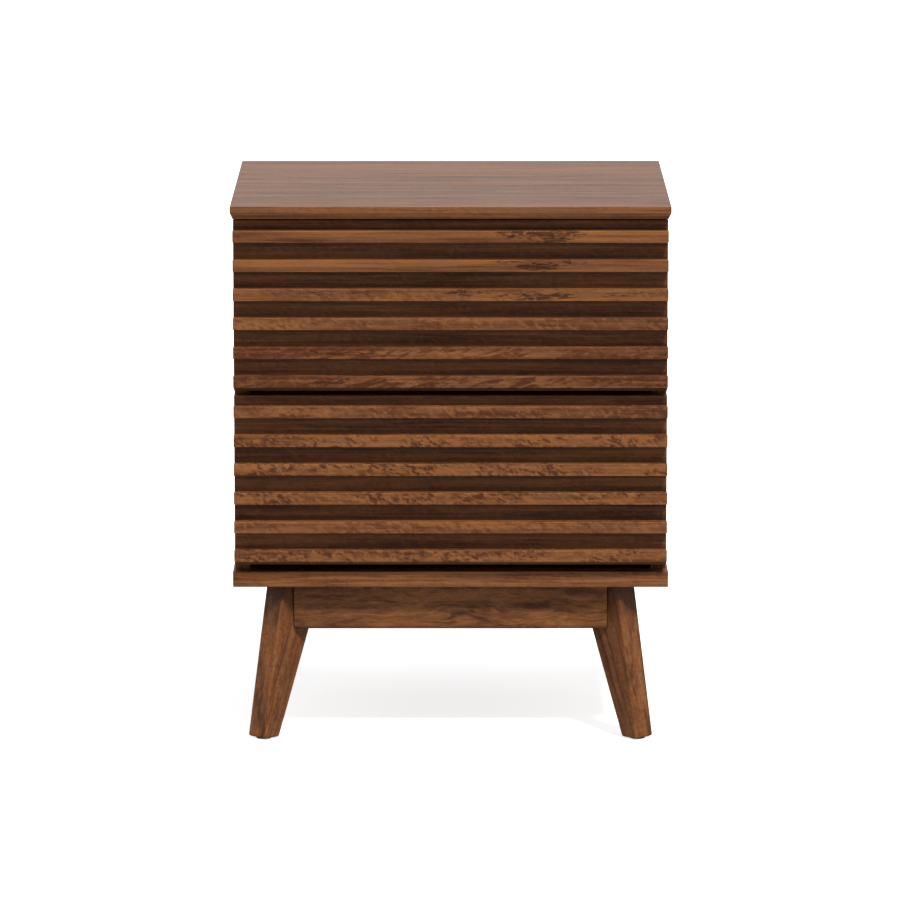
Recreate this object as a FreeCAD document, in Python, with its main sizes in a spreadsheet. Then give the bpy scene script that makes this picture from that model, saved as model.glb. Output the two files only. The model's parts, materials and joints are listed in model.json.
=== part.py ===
"""A bedside cabinet: two slatted drawers on ball-bearing runners, in a case on four splayed legs.

Millimetres. X is the width (+X to the right of a person facing the drawers), +Y is the back and
+Z is up. The origin is on the floor, under the middle of the top board.
"""
import FreeCAD
import Part
import Sketcher
import os

DOC = FreeCAD.newDocument("bedside_cabinet")

DIMENSIONS = [
    ("overall_height", 582, "floor to the upper face of the top board"),
    ("top_width", 470, "width of the top board"),
    ("top_depth", 394, "depth of the top board"),
    ("top_thickness", 13.5, "thickness of the top board"),
    ("bevel_depth", 3, "how far the bevel under the top's edges goes in"),
    ("bevel_height", 7, "how far that bevel goes up"),
    ("edge_round", 0.8, "rounding of the boards' edges"),
    ("case_width", 464, "width over the case sides"),
    ("side_thickness", 16, "thickness of the case sides"),
    ("case_setback", 2, "case's rear edge, in front of the top board's"),
    ("bottom_width", 468.6, "width of the bottom board"),
    ("bottom_thickness", 17, "thickness of the bottom board"),
    ("back_thickness", 5, "thickness of the back panel"),
    ("rebate_width", 8, "width of the rebate for the back panel"),
    ("stretcher_depth", 60, "depth of the rail between the drawers"),
    ("stretcher_thickness", 16, "thickness of that rail"),
    ("leg_height", 167.5, "floor to the underside of the bottom board"),
    ("leg_thickness", 27, "thickness of a leg, across its wide faces"),
    ("leg_top_width", 60, "width of a leg at its top"),
    ("leg_foot_width", 22, "width of a leg at its foot"),
    ("leg_splay", 29, "how far a leg's outer edge leans out, along the diagonal"),
    ("leg_round", 2.5, "rounding of a leg's long edges"),
    ("leg_foot_x", 210, "centre line to the middle of a foot's outer edge, sideways"),
    ("leg_foot_y", 183, "the same, to the front and to the back"),
    ("apron_x", 190, "centre line to the outer face of a side apron"),
    ("apron_y", 163.6, "centre line to the outer face of the front and the rear apron"),
    ("apron_height", 49.5, "height of an apron"),
    ("apron_thickness", 20, "thickness of an apron"),
    ("apron_groove", 2.6, "groove between an apron's outer face and a leg, across and deep"),
    ("block_height", 24, "height of a corner block"),
    ("block_reach", 47, "inner corner of the aprons to a block's near edge"),
    ("block_width", 30, "a block's near edge to its far edge, along an apron"),
    ("glide_height", 1.5, "thickness of a foot glide under the leg"),
    ("glide_radius", 8, "radius of a foot glide"),
    ("front_height", 184.2, "height of a drawer's front panel"),
    ("front_thickness", 16, "thickness of a drawer's front panel"),
    ("front_lift", 8, "gap between the bottom board and the lower front"),
    ("drawer_pitch", 189.3, "lower drawer to upper drawer"),
    ("slat_width", 464.6, "length of a slat"),
    ("slat_depth", 12, "how far a slat stands proud of the panel"),
    ("slat_height", 12.9, "height of a slat"),
    ("slat_pitch", 31.3, "slat to slat"),
    ("slat_margin", 10.2, "upper edge of the panel to the first slat"),
    ("slat_setback", 1, "slat faces, behind the top board's front edge"),
    ("bumper_gap", 2, "gap between a front panel and the case"),
    ("bumper_radius", 4, "radius of a rubber bumper"),
    ("box_lift", 20, "lower edge of a front panel to the drawer box"),
    ("box_height", 128, "height of a drawer box"),
    ("box_depth", 330, "depth of a drawer box"),
    ("box_thickness", 12, "thickness of a drawer box's walls"),
    ("floor_thickness", 5, "thickness of a drawer's bottom"),
    ("floor_lift", 8, "lower edge of a drawer box to its bottom"),
    ("groove_depth", 5, "depth of the groove for the drawer's bottom"),
    ("runner_space", 12.7, "gap between the case and a drawer box, for a runner"),
    ("runner_length", 300, "length of a runner's rails"),
    ("runner_setback", 2, "case's front edge to a rail"),
    ("runner_lift", 45, "lower edge of a drawer box to the middle of a runner"),
    ("metal_thickness", 1.2, "thickness of a rail's steel"),
    ("fixed_half_height", 17.5, "half the height of a fixed rail"),
    ("fixed_flange", 10, "width of a fixed rail's flanges"),
    ("moving_half_height", 11, "half the height of a moving rail"),
    ("moving_flange", 8.5, "width of a moving rail's flanges"),
    ("cage_half_height", 14, "half the height of a ball cage"),
    ("cage_thickness", 0.6, "thickness of a ball cage"),
    ("cage_setback", 3, "fixed rail's back to the web of a ball cage"),
    ("cage_flange", 6.2, "width of a ball cage's flanges"),
    ("cage_length", 84, "length of a ball cage"),
    ("ball_radius", 2.3, "radius of a bearing ball"),
    ("ball_height", 13.65, "middle of a runner to the middle of a ball"),
    ("ball_inset", 6.5, "case side to the middle of a ball"),
    ("ball_pitch", 10, "ball to ball"),
    ("dowel_radius", 4, "radius of a dowel"),
    ("case_dowel_length", 28, "length of a dowel in the case"),
    ("case_dowel_depth", 8, "how deep a case dowel goes into the board across its end"),
    ("leg_dowel_length", 25, "length of a dowel between a leg and an apron"),
    ("leg_dowel_depth", 12.5, "how deep that dowel goes into the leg"),
    ("leg_dowel_room", 0.5, "how much deeper than that dowel its hole is"),
    ("leg_dowel_inset", 61, "foot's outer edge to that dowel, along the diagonal"),
    ("cam_radius", 7.5, "radius of a cam fitting"),
    ("cam_depth", 12, "depth of a cam fitting"),
    ("cam_distance", 24, "end of a case side to the middle of a cam"),
    ("cam_bolt_radius", 3, "radius of a cam fitting's bolt"),
    ("cam_bolt_depth", 8, "how deep that bolt goes into a board"),
    ("cam_bore_slack", 0.5, "how much wider a cam's bore is than its bolt, in radius"),
    ("cam_edge", 90, "case's front or rear edge to a cam fitting"),
    ("case_dowel_edge", 50, "case's front or rear edge to a dowel"),
    ("front_screw_across", 120, "centre line to the screws between a drawer box and its front"),
    ("front_screw_low", 35, "lower edge of a drawer box to the lower of those screws"),
    ("front_screw_high", 95, "lower edge of a drawer box to the upper of those screws"),
    ("block_screw_inset", 18, "aprons' inner faces to the near screw of a corner block"),
    ("leg_dowel_high", 13, "top of a leg to its upper dowels"),
    ("leg_dowel_low", 37, "top of a leg to its lower dowels"),
    ("glide_pin_radius", 1.5, "radius of a foot glide's nail"),
    ("glide_pin_length", 12, "how deep that nail goes into the leg"),
    ("back_screw_length", 16, "length of a screw's shank in the back panel"),
    ("rail_screw_length", 13, "the same, through a fixed rail"),
    ("drawer_screw_length", 11, "the same, through a moving rail"),
    ("front_screw_length", 24, "the same, into a drawer's front"),
    ("block_screw_length", 36, "the same, through a corner block"),
    ("screw_radius", 1.75, "radius of a screw's shank"),
    ("screw_head_radius", 3.4, "radius of a screw's head"),
    ("screw_head_height", 1.4, "height of a screw's head"),
    ("bottom_play", 0.2, "gap round a drawer's bottom in its groove"),
    ("bumper_play", 0.2, "gap between a bumper and a closed front"),
    ("seat_reach", 1, "how far the bar that cuts a cage's seats reaches past it"),
    ("seat_slack", 0.1, "how much wider a cage's seats are than a ball, in radius"),
    ("hole_slack", 0.05, "how much wider a hole is than what sits in it, in radius"),
]
SLATS = 6
BALLS = 7
BACK_SCREW_ROWS = 5
FIXED_RAIL_SCREWS = (0.08, 0.5, 0.92)
MOVING_RAIL_SCREWS = (0.12, 0.9)
STRETCHER_DOWELS = (0.25, 0.75)
BUMPER_SHARE = 0.85
LEAST_CUT = 0.1
CLOSE = 0.01
DRAWERS = ("lower", "upper")
SIDES = (("left", -1), ("right", 1))

NODES = []


def fill_sheet():
    """Writes the driving dimensions to the spreadsheet, each with its alias."""
    sheet = DOC.addObject("Spreadsheet::Sheet", "Dims")
    for row, (alias, value, note) in enumerate(DIMENSIONS, 1):
        sheet.set(f"A{row}", note)
        sheet.set(f"B{row}", str(value))
        sheet.setAlias(f"B{row}", alias)
    DOC.recompute()


# Places that several pieces share, as formulas on the spreadsheet.
CASE_TOP = "(Dims.overall_height - Dims.top_thickness)"
CASE_FLOOR = "(Dims.leg_height + Dims.bottom_thickness)"
CASE_HEIGHT = f"({CASE_TOP} - {CASE_FLOOR})"
CASE_INSIDE = "(Dims.case_width / 2 - Dims.side_thickness)"
CASE_REAR = "(Dims.top_depth / 2 - Dims.case_setback)"
SLAT_FACE = "(Dims.slat_setback - Dims.top_depth / 2)"
PANEL_FACE = f"({SLAT_FACE} + Dims.slat_depth)"
PANEL_REAR = f"({PANEL_FACE} + Dims.front_thickness)"
CASE_FRONT = f"({PANEL_REAR} + Dims.bumper_gap)"
CASE_DEPTH = f"({CASE_REAR} - {CASE_FRONT})"
BOX_OUTSIDE = f"({CASE_INSIDE} - Dims.runner_space)"
BOX_INSIDE = f"({BOX_OUTSIDE} - Dims.box_thickness)"
BOX_REAR = f"({PANEL_REAR} + Dims.box_depth)"
RUNNER_FRONT = f"({CASE_FRONT} + Dims.runner_setback)"
RUNNER_MIDDLE = f"({RUNNER_FRONT} + Dims.runner_length / 2)"
BOLT_LENGTH = "(Dims.cam_distance + Dims.cam_bolt_depth)"
STRETCHER_MIDDLE = (f"({CASE_FLOOR} + Dims.front_lift"
                    " + (Dims.drawer_pitch + Dims.front_height) / 2)")


def panel_floor(drawer):
    """The height of the lower edge of a drawer's front panel."""
    return f"({CASE_FLOOR} + Dims.front_lift + {DRAWERS.index(drawer)} * Dims.drawer_pitch)"


def box_floor(drawer):
    """The height of the lower edge of a drawer box."""
    return f"({panel_floor(drawer)} + Dims.box_lift)"


def runner_height(drawer):
    """The height of the middle of a drawer's runners."""
    return f"({box_floor(drawer)} + Dims.runner_lift)"


# Tools that the pieces are made with.

def keep(piece, label):
    """Names a finished piece and lists it as a node."""
    piece.Label = label
    NODES.append(piece)
    return piece


def move(piece, place, turn=None):
    """Binds a piece's place to the sheet and turns it about an axis: turn is (axis, degrees)."""
    if turn:
        axis, degrees = turn
        rotation = FreeCAD.Rotation(FreeCAD.Vector(*axis), degrees)
        piece.Placement = FreeCAD.Placement(FreeCAD.Vector(), rotation)
    for letter, formula in zip("xyz", place):
        piece.setExpression(f"Placement.Base.{letter}", str(formula))


def outline(body, plane, points):
    """A closed sketch on one of the body's own planes. Each point is a pair of formulas, never below 0."""
    sketch = body.newObject("Sketcher::SketchObject", body.Name + "_sketch")
    flat = next(f for f in body.Origin.OriginFeatures if f.Role == plane)
    sketch.AttachmentSupport = [(flat, "")]
    sketch.MapMode = "FlatFace"
    count = len(points)
    rough = [FreeCAD.Vector(*(value_of(formula) for formula in point), 0) for point in points]
    for i in range(count):
        sketch.addGeometry(Part.LineSegment(rough[i], rough[(i + 1) % count]), False)
    for i in range(count):
        sketch.addConstraint(Sketcher.Constraint("Coincident", i, 2, (i + 1) % count, 1))
    for i, point in enumerate(points):
        for kind, axis, formula, value in zip(("DistanceX", "DistanceY"), (-2, -1), point, rough[i]):
            if value == 0:
                sketch.addConstraint(Sketcher.Constraint("PointOnObject", i, 1, axis))
            else:
                index = sketch.addConstraint(Sketcher.Constraint(kind, -1, 1, i, 1, value))
                sketch.setExpression(f"Constraints[{index}]", str(formula))
    return sketch


def value_of(formula):
    """What a formula on the sheet comes to."""
    value = DOC.Dims.evalExpression(str(formula).replace("Dims.", ""))
    return float(getattr(value, "Value", value))


def pad(body, sketch, length, symmetric=False, reverse=False):
    """Makes a sketch solid."""
    feature = body.newObject("PartDesign::Pad", body.Name + "_pad")
    feature.Profile = sketch
    feature.setExpression("Length", str(length))
    feature.SideType = "Symmetric" if symmetric else "One side"
    feature.Reversed = reverse
    DOC.recompute()
    return feature


def pocket(body, sketch, reverse=False):
    """Cuts a sketch out of the body, right through, and checks that it cut."""
    before = body.Shape.Volume
    feature = body.newObject("PartDesign::Pocket", body.Name + "_pocket")
    feature.Profile = sketch
    feature.Reversed = reverse
    feature.SideType = "One side"
    feature.Type = "ThroughAll"
    DOC.recompute()
    if not body.Shape.Volume < before - LEAST_CUT:
        raise RuntimeError(f"{feature.Name} cuts nothing")
    return feature


def soften(body, radius, wanted=lambda edge: True):
    """Rounds the edges of the body's last feature that wanted() picks."""
    last = body.Tip
    names = [f"Edge{i}" for i, edge in enumerate(last.Shape.Edges, 1) if wanted(edge)]
    feature = body.newObject("PartDesign::Fillet", body.Name + "_fillet")
    feature.Base = (last, names)
    feature.setExpression("Radius", str(radius))
    DOC.recompute()
    return feature


def board(label, size, corner, radius="Dims.edge_round"):
    """A flat board with rounded edges. size and corner (the lowest x, y, z) are formulas."""
    body = DOC.addObject("PartDesign::Body", label)
    width, depth, height = size
    sketch = outline(body, "XY_Plane", [(0, 0), (width, 0), (width, depth), (0, depth)])
    pad(body, sketch, height)
    if radius:
        soften(body, radius)
    move(body, corner)
    return body


def cylinder(name, radius, length, place, turn=None):
    """A round bar from place along +Z, or along where turn takes +Z."""
    bar = DOC.addObject("Part::Cylinder", name)
    bar.setExpression("Radius", str(radius))
    bar.setExpression("Height", str(length))
    move(bar, place, turn)
    return bar


def block(name, size, corner):
    """A plain block, used to cut with."""
    box = DOC.addObject("Part::Box", name)
    for side, formula in zip(("Length", "Width", "Height"), size):
        box.setExpression(side, str(formula))
    move(box, corner)
    return box


def cut(piece, tools):
    """The piece without its tools' shapes. Checks that something was cut away."""
    tool = tools[0]
    if len(tools) > 1:
        tool = DOC.addObject("Part::MultiFuse", piece.Name + "_holes")
        tool.Shapes = tools
    result = DOC.addObject("Part::Cut", piece.Name + "_cut")
    result.Base = piece
    result.Tool = tool
    DOC.recompute()
    if not result.Shape.Volume < piece.Shape.Volume - LEAST_CUT:
        raise RuntimeError(f"{result.Name} cuts nothing")
    return result


def group(label, solids):
    """Like pieces that stay separate solids, kept as one node."""
    compound = DOC.addObject("Part::Compound", label)
    compound.Links = solids
    return keep(compound, label)


TO_LEFT = ((0, 1, 0), -90)
TO_RIGHT = ((0, 1, 0), 90)
TO_FRONT = ((1, 0, 0), 90)


def hole(name, radius, length, place, turn=None):
    """The bar that drills a hole with a little slack."""
    return cylinder(name + "_hole", f"({radius} + Dims.hole_slack)", length, place, turn)


def screw(name, length, place, turn=((0, 0, 1), 0)):
    """A pan-head screw. place is under its head, and turn takes +Z to where its point goes."""
    shank = cylinder(name + "_shank", "Dims.screw_radius", length, place, turn)
    axis, degrees = turn
    points_to = FreeCAD.Rotation(FreeCAD.Vector(*axis), degrees).multVec(FreeCAD.Vector(0, 0, 1))
    behind = [f"{formula} - {round(part)} * Dims.screw_head_height"
              for formula, part in zip(place, points_to)]
    head = cylinder(name + "_head", "Dims.screw_head_radius", "Dims.screw_head_height", behind, turn)
    whole = DOC.addObject("Part::Fuse", name)
    whole.Base = shank
    whole.Tool = head
    return whole


# The case.

def back_screw_places():
    """Where the screws of the back panel sit, on its rear face."""
    for _, sign in SIDES:
        for row in range(BACK_SCREW_ROWS):
            across = f"{sign} * ({CASE_INSIDE} + Dims.rebate_width / 2)"
            yield across, CASE_REAR, f"{CASE_FLOOR} + {CASE_HEIGHT} * {(row + 0.5) / BACK_SCREW_ROWS}"


def fixed_screw_places():
    """Where the screws of the fixed rails sit, on the rails' webs: (place, turn)."""
    for drawer in DRAWERS:
        for side, sign in SIDES:
            for share in FIXED_RAIL_SCREWS:
                place = (f"{sign} * ({CASE_INSIDE} - Dims.metal_thickness)",
                         f"{RUNNER_FRONT} + {share} * Dims.runner_length", runner_height(drawer))
                yield place, TO_LEFT if side == "left" else TO_RIGHT


def case_dowel_places():
    """Where the case's dowels start: (place, turn)."""
    for side, sign in SIDES:
        middle = f"{sign} * ({CASE_INSIDE} + Dims.side_thickness / 2)"
        for depth in (f"{CASE_FRONT} + Dims.case_dowel_edge", f"{CASE_REAR} - Dims.case_dowel_edge"):
            yield (middle, depth, f"{CASE_FLOOR} - Dims.case_dowel_depth"), None
            yield (middle, depth, f"{CASE_TOP} + Dims.case_dowel_depth - Dims.case_dowel_length"), None
        for share in STRETCHER_DOWELS:
            start = f"{sign} * ({CASE_INSIDE} + Dims.case_dowel_depth)"
            place = (start, f"{CASE_FRONT} + {share} * Dims.stretcher_depth", STRETCHER_MIDDLE)
            yield place, TO_RIGHT if side == "left" else TO_LEFT


def cam_places():
    """Where the cam fittings are: (side, middle of the cam's rim on the case's inside, end)."""
    for side, sign in SIDES:
        for depth in (f"{CASE_FRONT} + Dims.cam_edge", f"{CASE_REAR} - Dims.cam_edge"):
            yield side, (f"{sign} * {CASE_INSIDE}", depth, f"{CASE_TOP} - Dims.cam_distance"), "top"
            yield side, (f"{sign} * {CASE_INSIDE}", depth, f"{CASE_FLOOR} + Dims.cam_distance"), "bottom"


def cam_bolt_place(side, place, end):
    """Where a cam fitting's bolt starts, at its lower end."""
    sign = dict(SIDES)[side]
    height = place[2] if end == "top" else f"{CASE_FLOOR} - Dims.cam_bolt_depth"
    return f"{sign} * ({CASE_INSIDE} + Dims.side_thickness / 2)", place[1], height


def make_case_holes():
    """The bars that drill the case: dowels, cam fittings and screws."""
    bars = []
    for place, turn in case_dowel_places():
        bars.append(hole("case_dowel", "Dims.dowel_radius", "Dims.case_dowel_length", place, turn))
    for side, place, end in cam_places():
        turn = TO_LEFT if side == "left" else TO_RIGHT
        bars.append(hole("cam", "Dims.cam_radius", "Dims.cam_depth", place, turn))
        bolt = cam_bolt_place(side, place, end)
        bars.append(hole("cam_bolt", "Dims.cam_bolt_radius", BOLT_LENGTH, bolt))
    for place in back_screw_places():
        bars.append(hole("back_screw", "Dims.screw_radius", "Dims.back_screw_length", place, TO_FRONT))
    for place, turn in fixed_screw_places():
        bars.append(hole("fixed_screw", "Dims.screw_radius", "Dims.rail_screw_length", place, turn))
    return bars


def make_top(holes):
    """The top board, bevelled underneath at the front and at both sides."""
    body = DOC.addObject("PartDesign::Body", "top_blank")
    wide, thick = "Dims.top_width", "Dims.top_thickness"
    deep, high = "Dims.bevel_depth", "Dims.bevel_height"
    section = [(deep, 0), (f"{wide} - {deep}", 0), (wide, high), (wide, thick), (0, thick), (0, high)]
    pad(body, outline(body, "XZ_Plane", section), "Dims.top_depth", reverse=True)
    pocket(body, outline(body, "YZ_Plane", [(0, 0), (deep, 0), (0, high)]), reverse=True)
    height = value_of(thick)
    soften(body, "Dims.edge_round", lambda edge: edge.BoundBox.ZMin > height - CLOSE)
    move(body, ("-Dims.top_width / 2", "-Dims.top_depth / 2", CASE_TOP))
    keep(cut(body, holes), "top_panel")


def make_bottom(holes):
    """The bottom board, whose front edge is flush with the drawers' panels."""
    size = ("Dims.bottom_width", f"{CASE_REAR} - {PANEL_FACE}", "Dims.bottom_thickness")
    body = board("bottom_blank", size, ("-Dims.bottom_width / 2", PANEL_FACE, "Dims.leg_height"))
    keep(cut(body, holes), "bottom_panel")


def make_sides(holes):
    """The two case sides, rebated for the back panel."""
    for side, sign in SIDES:
        size = ("Dims.side_thickness", CASE_DEPTH, CASE_HEIGHT)
        start = CASE_INSIDE if sign > 0 else "-Dims.case_width / 2"
        body = board(f"side_{side}_blank", size, (start, CASE_FRONT, CASE_FLOOR), "Dims.edge_round / 2")
        edge = CASE_INSIDE if sign > 0 else f"-{CASE_INSIDE} - Dims.rebate_width"
        rebate = block(f"rebate_{side}", ("Dims.rebate_width", "Dims.back_thickness", CASE_HEIGHT),
                       (edge, f"{CASE_REAR} - Dims.back_thickness", CASE_FLOOR))
        keep(cut(body, [rebate] + holes), f"side_panel_{side}")


def make_back(holes):
    """The thin back panel, which sits in the sides' rebates."""
    width = f"2 * ({CASE_INSIDE} + Dims.rebate_width)"
    corner = (f"-{CASE_INSIDE} - Dims.rebate_width", f"{CASE_REAR} - Dims.back_thickness", CASE_FLOOR)
    body = board("back_blank", (width, "Dims.back_thickness", CASE_HEIGHT), corner, None)
    keep(cut(body, holes), "back_panel")


def make_stretcher(holes):
    """The rail across the front of the case, between the two drawers."""
    size = (f"2 * {CASE_INSIDE}", "Dims.stretcher_depth", "Dims.stretcher_thickness")
    corner = (f"-{CASE_INSIDE}", CASE_FRONT, f"{STRETCHER_MIDDLE} - Dims.stretcher_thickness / 2")
    body = board("stretcher_blank", size, corner, None)
    keep(cut(body, holes), "middle_rail")


def make_case_fittings():
    """The cam fittings, the back panel's screws and the rubber bumpers."""
    fittings = []
    for side, place, end in cam_places():
        turn = TO_LEFT if side == "left" else TO_RIGHT
        drum = cylinder("cam_drum", "Dims.cam_radius", "Dims.cam_depth", place, turn)
        bolt_place = cam_bolt_place(side, place, end)
        bore = cylinder("cam_bore", "Dims.cam_bolt_radius + Dims.cam_bore_slack", BOLT_LENGTH, bolt_place)
        fittings.append(cut(drum, [bore]))
        fittings.append(cylinder("cam_bolt", "Dims.cam_bolt_radius", BOLT_LENGTH, bolt_place))
    group("cam_fittings", fittings)
    screws = [screw("back_screw", "Dims.back_screw_length", place, TO_FRONT)
              for place in back_screw_places()]
    group("back_panel_screws", screws)
    bumpers = []
    for drawer in DRAWERS:
        for _, sign in SIDES:
            place = (f"{sign} * ({CASE_INSIDE} + Dims.side_thickness / 2)", CASE_FRONT,
                     f"{panel_floor(drawer)} + {BUMPER_SHARE} * Dims.front_height")
            thick = "Dims.bumper_gap - Dims.bumper_play"
            bumpers.append(cylinder("bumper", "Dims.bumper_radius", thick, place, TO_FRONT))
    group("front_bumpers", bumpers)


# The base: legs, aprons and corner blocks.

ENDS = (("front", -1), ("rear", 1))
CORNERS = [(f"{end}_{side}", sign, toward) for end, toward in ENDS for side, sign in SIDES]
LEG_ANGLES = {"front_left": 45, "front_right": 135, "rear_right": 225, "rear_left": 315}
BLOCK_ANGLES = {"front_left": 0, "front_right": 90, "rear_right": 180, "rear_left": 270}
LEG_FACE = "Dims.leg_thickness / 2 * sqrt(2)"
APRON_HALF_X = f"(Dims.leg_foot_x - Dims.leg_foot_y + Dims.apron_y - {LEG_FACE})"
APRON_HALF_Y = f"(Dims.leg_foot_y - Dims.leg_foot_x + Dims.apron_x - {LEG_FACE})"


def leg_dowel_places():
    """Where each dowel's hole starts, in the middle of a leg: (corner, apron, place, direction)."""
    for corner, sign, toward in CORNERS:
        across = f"{sign} * (Dims.leg_foot_x - Dims.leg_dowel_inset / sqrt(2))"
        along = f"{toward} * (Dims.leg_foot_y - Dims.leg_dowel_inset / sqrt(2))"
        end, side = corner.split("_")
        for drop in ("Dims.leg_dowel_high", "Dims.leg_dowel_low"):
            place = (across, along, f"Dims.leg_height - {drop}")
            yield corner, end, place, (-sign, toward)
            yield corner, side, place, (sign, -toward)


def along_ground(direction):
    """The turn that takes +Z to a level direction (x, y)."""
    return (-direction[1], direction[0], 0), 90


def make_leg_holes():
    """The bars that drill the dowel holes, by leg and by apron."""
    by_piece = {}
    for corner, apron, place, direction in leg_dowel_places():
        length = ("Dims.leg_dowel_length + Dims.leg_thickness / 2 - Dims.leg_dowel_depth"
                  " + Dims.leg_dowel_room")
        bar = hole("leg_dowel", "Dims.dowel_radius", length, place, along_ground(direction))
        by_piece.setdefault(corner, []).append(bar)
        by_piece.setdefault(apron, []).append(bar)
    return by_piece


def glide_place(sign, toward):
    """The middle of a foot, on the floor."""
    inset = "Dims.leg_foot_width / 2 / sqrt(2)"
    return f"{sign} * (Dims.leg_foot_x - {inset})", f"{toward} * (Dims.leg_foot_y - {inset})", 0


def make_legs(holes):
    """Four diagonal legs: boards on edge that taper and lean out towards the floor."""
    height = "(Dims.leg_height - Dims.glide_height)"
    profile = [(0, 0), ("Dims.leg_foot_width", 0), ("Dims.leg_splay + Dims.leg_top_width", height),
               ("Dims.leg_splay", height)]
    for corner, sign, toward in CORNERS:
        body = DOC.addObject("PartDesign::Body", f"leg_{corner}_blank")
        pad(body, outline(body, "XZ_Plane", profile), "Dims.leg_thickness", symmetric=True)
        top = value_of(height)
        soften(body, "Dims.leg_round", lambda edge: edge.CenterOfMass.z < top - CLOSE)
        place = (f"{sign} * Dims.leg_foot_x", f"{toward} * Dims.leg_foot_y", "Dims.glide_height")
        move(body, place, ((0, 0, 1), LEG_ANGLES[corner]))
        pin = hole("glide_pin", "Dims.glide_pin_radius", "Dims.glide_height + Dims.glide_pin_length",
                   glide_place(sign, toward))
        keep(cut(body, holes[corner] + [pin]), f"leg_{corner}")


def make_aprons(holes):
    """The four aprons, mitred to the legs' wide faces, with a groove beside each leg."""
    thick = "Dims.apron_thickness"
    groove = "Dims.apron_groove"
    floor = "Dims.leg_height - Dims.apron_height"
    layout = {
        "front": (APRON_HALF_X, (f"-{APRON_HALF_X}", "-Dims.apron_y"), 0),
        "rear": (APRON_HALF_X, (APRON_HALF_X, "Dims.apron_y"), 180),
        "left": (APRON_HALF_Y, ("-Dims.apron_x", APRON_HALF_Y), 270),
        "right": (APRON_HALF_Y, ("Dims.apron_x", f"-{APRON_HALF_Y}"), 90),
    }
    for name, (half, start, degrees) in layout.items():
        length = f"2 * {half}"
        near_end = f"{length} - {groove}"
        plan = [(groove, 0), (near_end, 0), (near_end, groove), (f"{length} - {thick}", thick),
                (thick, thick), (groove, groove)]
        body = DOC.addObject("PartDesign::Body", f"apron_{name}_blank")
        pad(body, outline(body, "XY_Plane", plan), "Dims.apron_height")
        soften(body, "Dims.edge_round", lambda edge: edge.BoundBox.ZMax < CLOSE)
        move(body, (*start, floor), ((0, 0, 1), degrees))
        keep(cut(body, holes[name]), f"apron_{name}")


def block_screw_places():
    """Where the screws through the corner blocks start, under the blocks."""
    near = "Dims.block_screw_inset"
    far = f"(Dims.block_reach + Dims.block_width / 2 - {near})"
    for corner, sign, toward in CORNERS:
        inner_x, inner_y = "Dims.apron_x - Dims.apron_thickness", "Dims.apron_y - Dims.apron_thickness"
        for u, v in ((near, far), (far, near)):
            place = (f"{sign} * ({inner_x} - {u})", f"{toward} * ({inner_y} - {v})",
                     "Dims.leg_height - Dims.block_height")
            yield corner, place


def make_block_holes():
    """The bars that drill the corner blocks and the bottom board for the blocks' screws."""
    by_corner = {}
    for corner, place in block_screw_places():
        bar = hole("block_screw", "Dims.screw_radius", "Dims.block_screw_length", place)
        by_corner.setdefault(corner, []).append(bar)
    return by_corner


def make_blocks(holes):
    """The four corner blocks, glued inside the aprons' corners behind the legs."""
    near = "Dims.block_reach"
    far = "(Dims.block_reach + Dims.block_width)"
    blocks = []
    for corner, sign, toward in CORNERS:
        body = DOC.addObject("PartDesign::Body", f"block_{corner}_blank")
        plan = [(near, 0), (far, 0), (0, far), (0, near)]
        pad(body, outline(body, "XY_Plane", plan), "Dims.block_height")
        place = (f"{sign} * (Dims.apron_x - Dims.apron_thickness)",
                 f"{toward} * (Dims.apron_y - Dims.apron_thickness)",
                 "Dims.leg_height - Dims.block_height")
        move(body, place, ((0, 0, 1), BLOCK_ANGLES[corner]))
        blocks.append(cut(body, holes[corner]))
    group("corner_blocks", blocks)


def make_base_fittings():
    """The corner blocks' screws and the nail-on foot glides."""
    screws = [screw("base_screw", "Dims.block_screw_length", place) for _, place in block_screw_places()]
    group("base_screws", screws)
    glides = []
    for _, sign, toward in CORNERS:
        place = glide_place(sign, toward)
        disc = cylinder("glide_disc", "Dims.glide_radius", "Dims.glide_height", place)
        reach = "Dims.glide_height + Dims.glide_pin_length"
        pin = cylinder("glide_pin", "Dims.glide_pin_radius", reach, place)
        glide = DOC.addObject("Part::Fuse", "glide")
        glide.Base = disc
        glide.Tool = pin
        glides.append(glide)
    group("foot_glides", glides)


def make_dowels():
    """All the wooden dowels, of the case and of the base."""
    dowels = []
    for place, turn in case_dowel_places():
        dowels.append(cylinder("dowel", "Dims.dowel_radius", "Dims.case_dowel_length", place, turn))
    for _, _, place, direction in leg_dowel_places():
        start = "(Dims.leg_thickness / 2 - Dims.leg_dowel_depth) / sqrt(2)"
        shifted = (f"{place[0]} + {direction[0]} * {start}", f"{place[1]} + {direction[1]} * {start}",
                   place[2])
        turn = along_ground(direction)
        dowels.append(cylinder("dowel", "Dims.dowel_radius", "Dims.leg_dowel_length", shifted, turn))
    group("dowels", dowels)


# The runners.

def channel(name, half_height, flange, metal, length):
    """A U-shaped channel along Y, its web at x = 0 and its flanges towards +X."""
    body = DOC.addObject("PartDesign::Body", name)
    full = f"2 * {half_height}"
    section = [(0, 0), (flange, 0), (flange, metal), (metal, metal), (metal, f"{full} - {metal}"),
               (flange, f"{full} - {metal}"), (flange, full), (0, full)]
    pad(body, outline(body, "XZ_Plane", section), length, symmetric=True)
    return body


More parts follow.
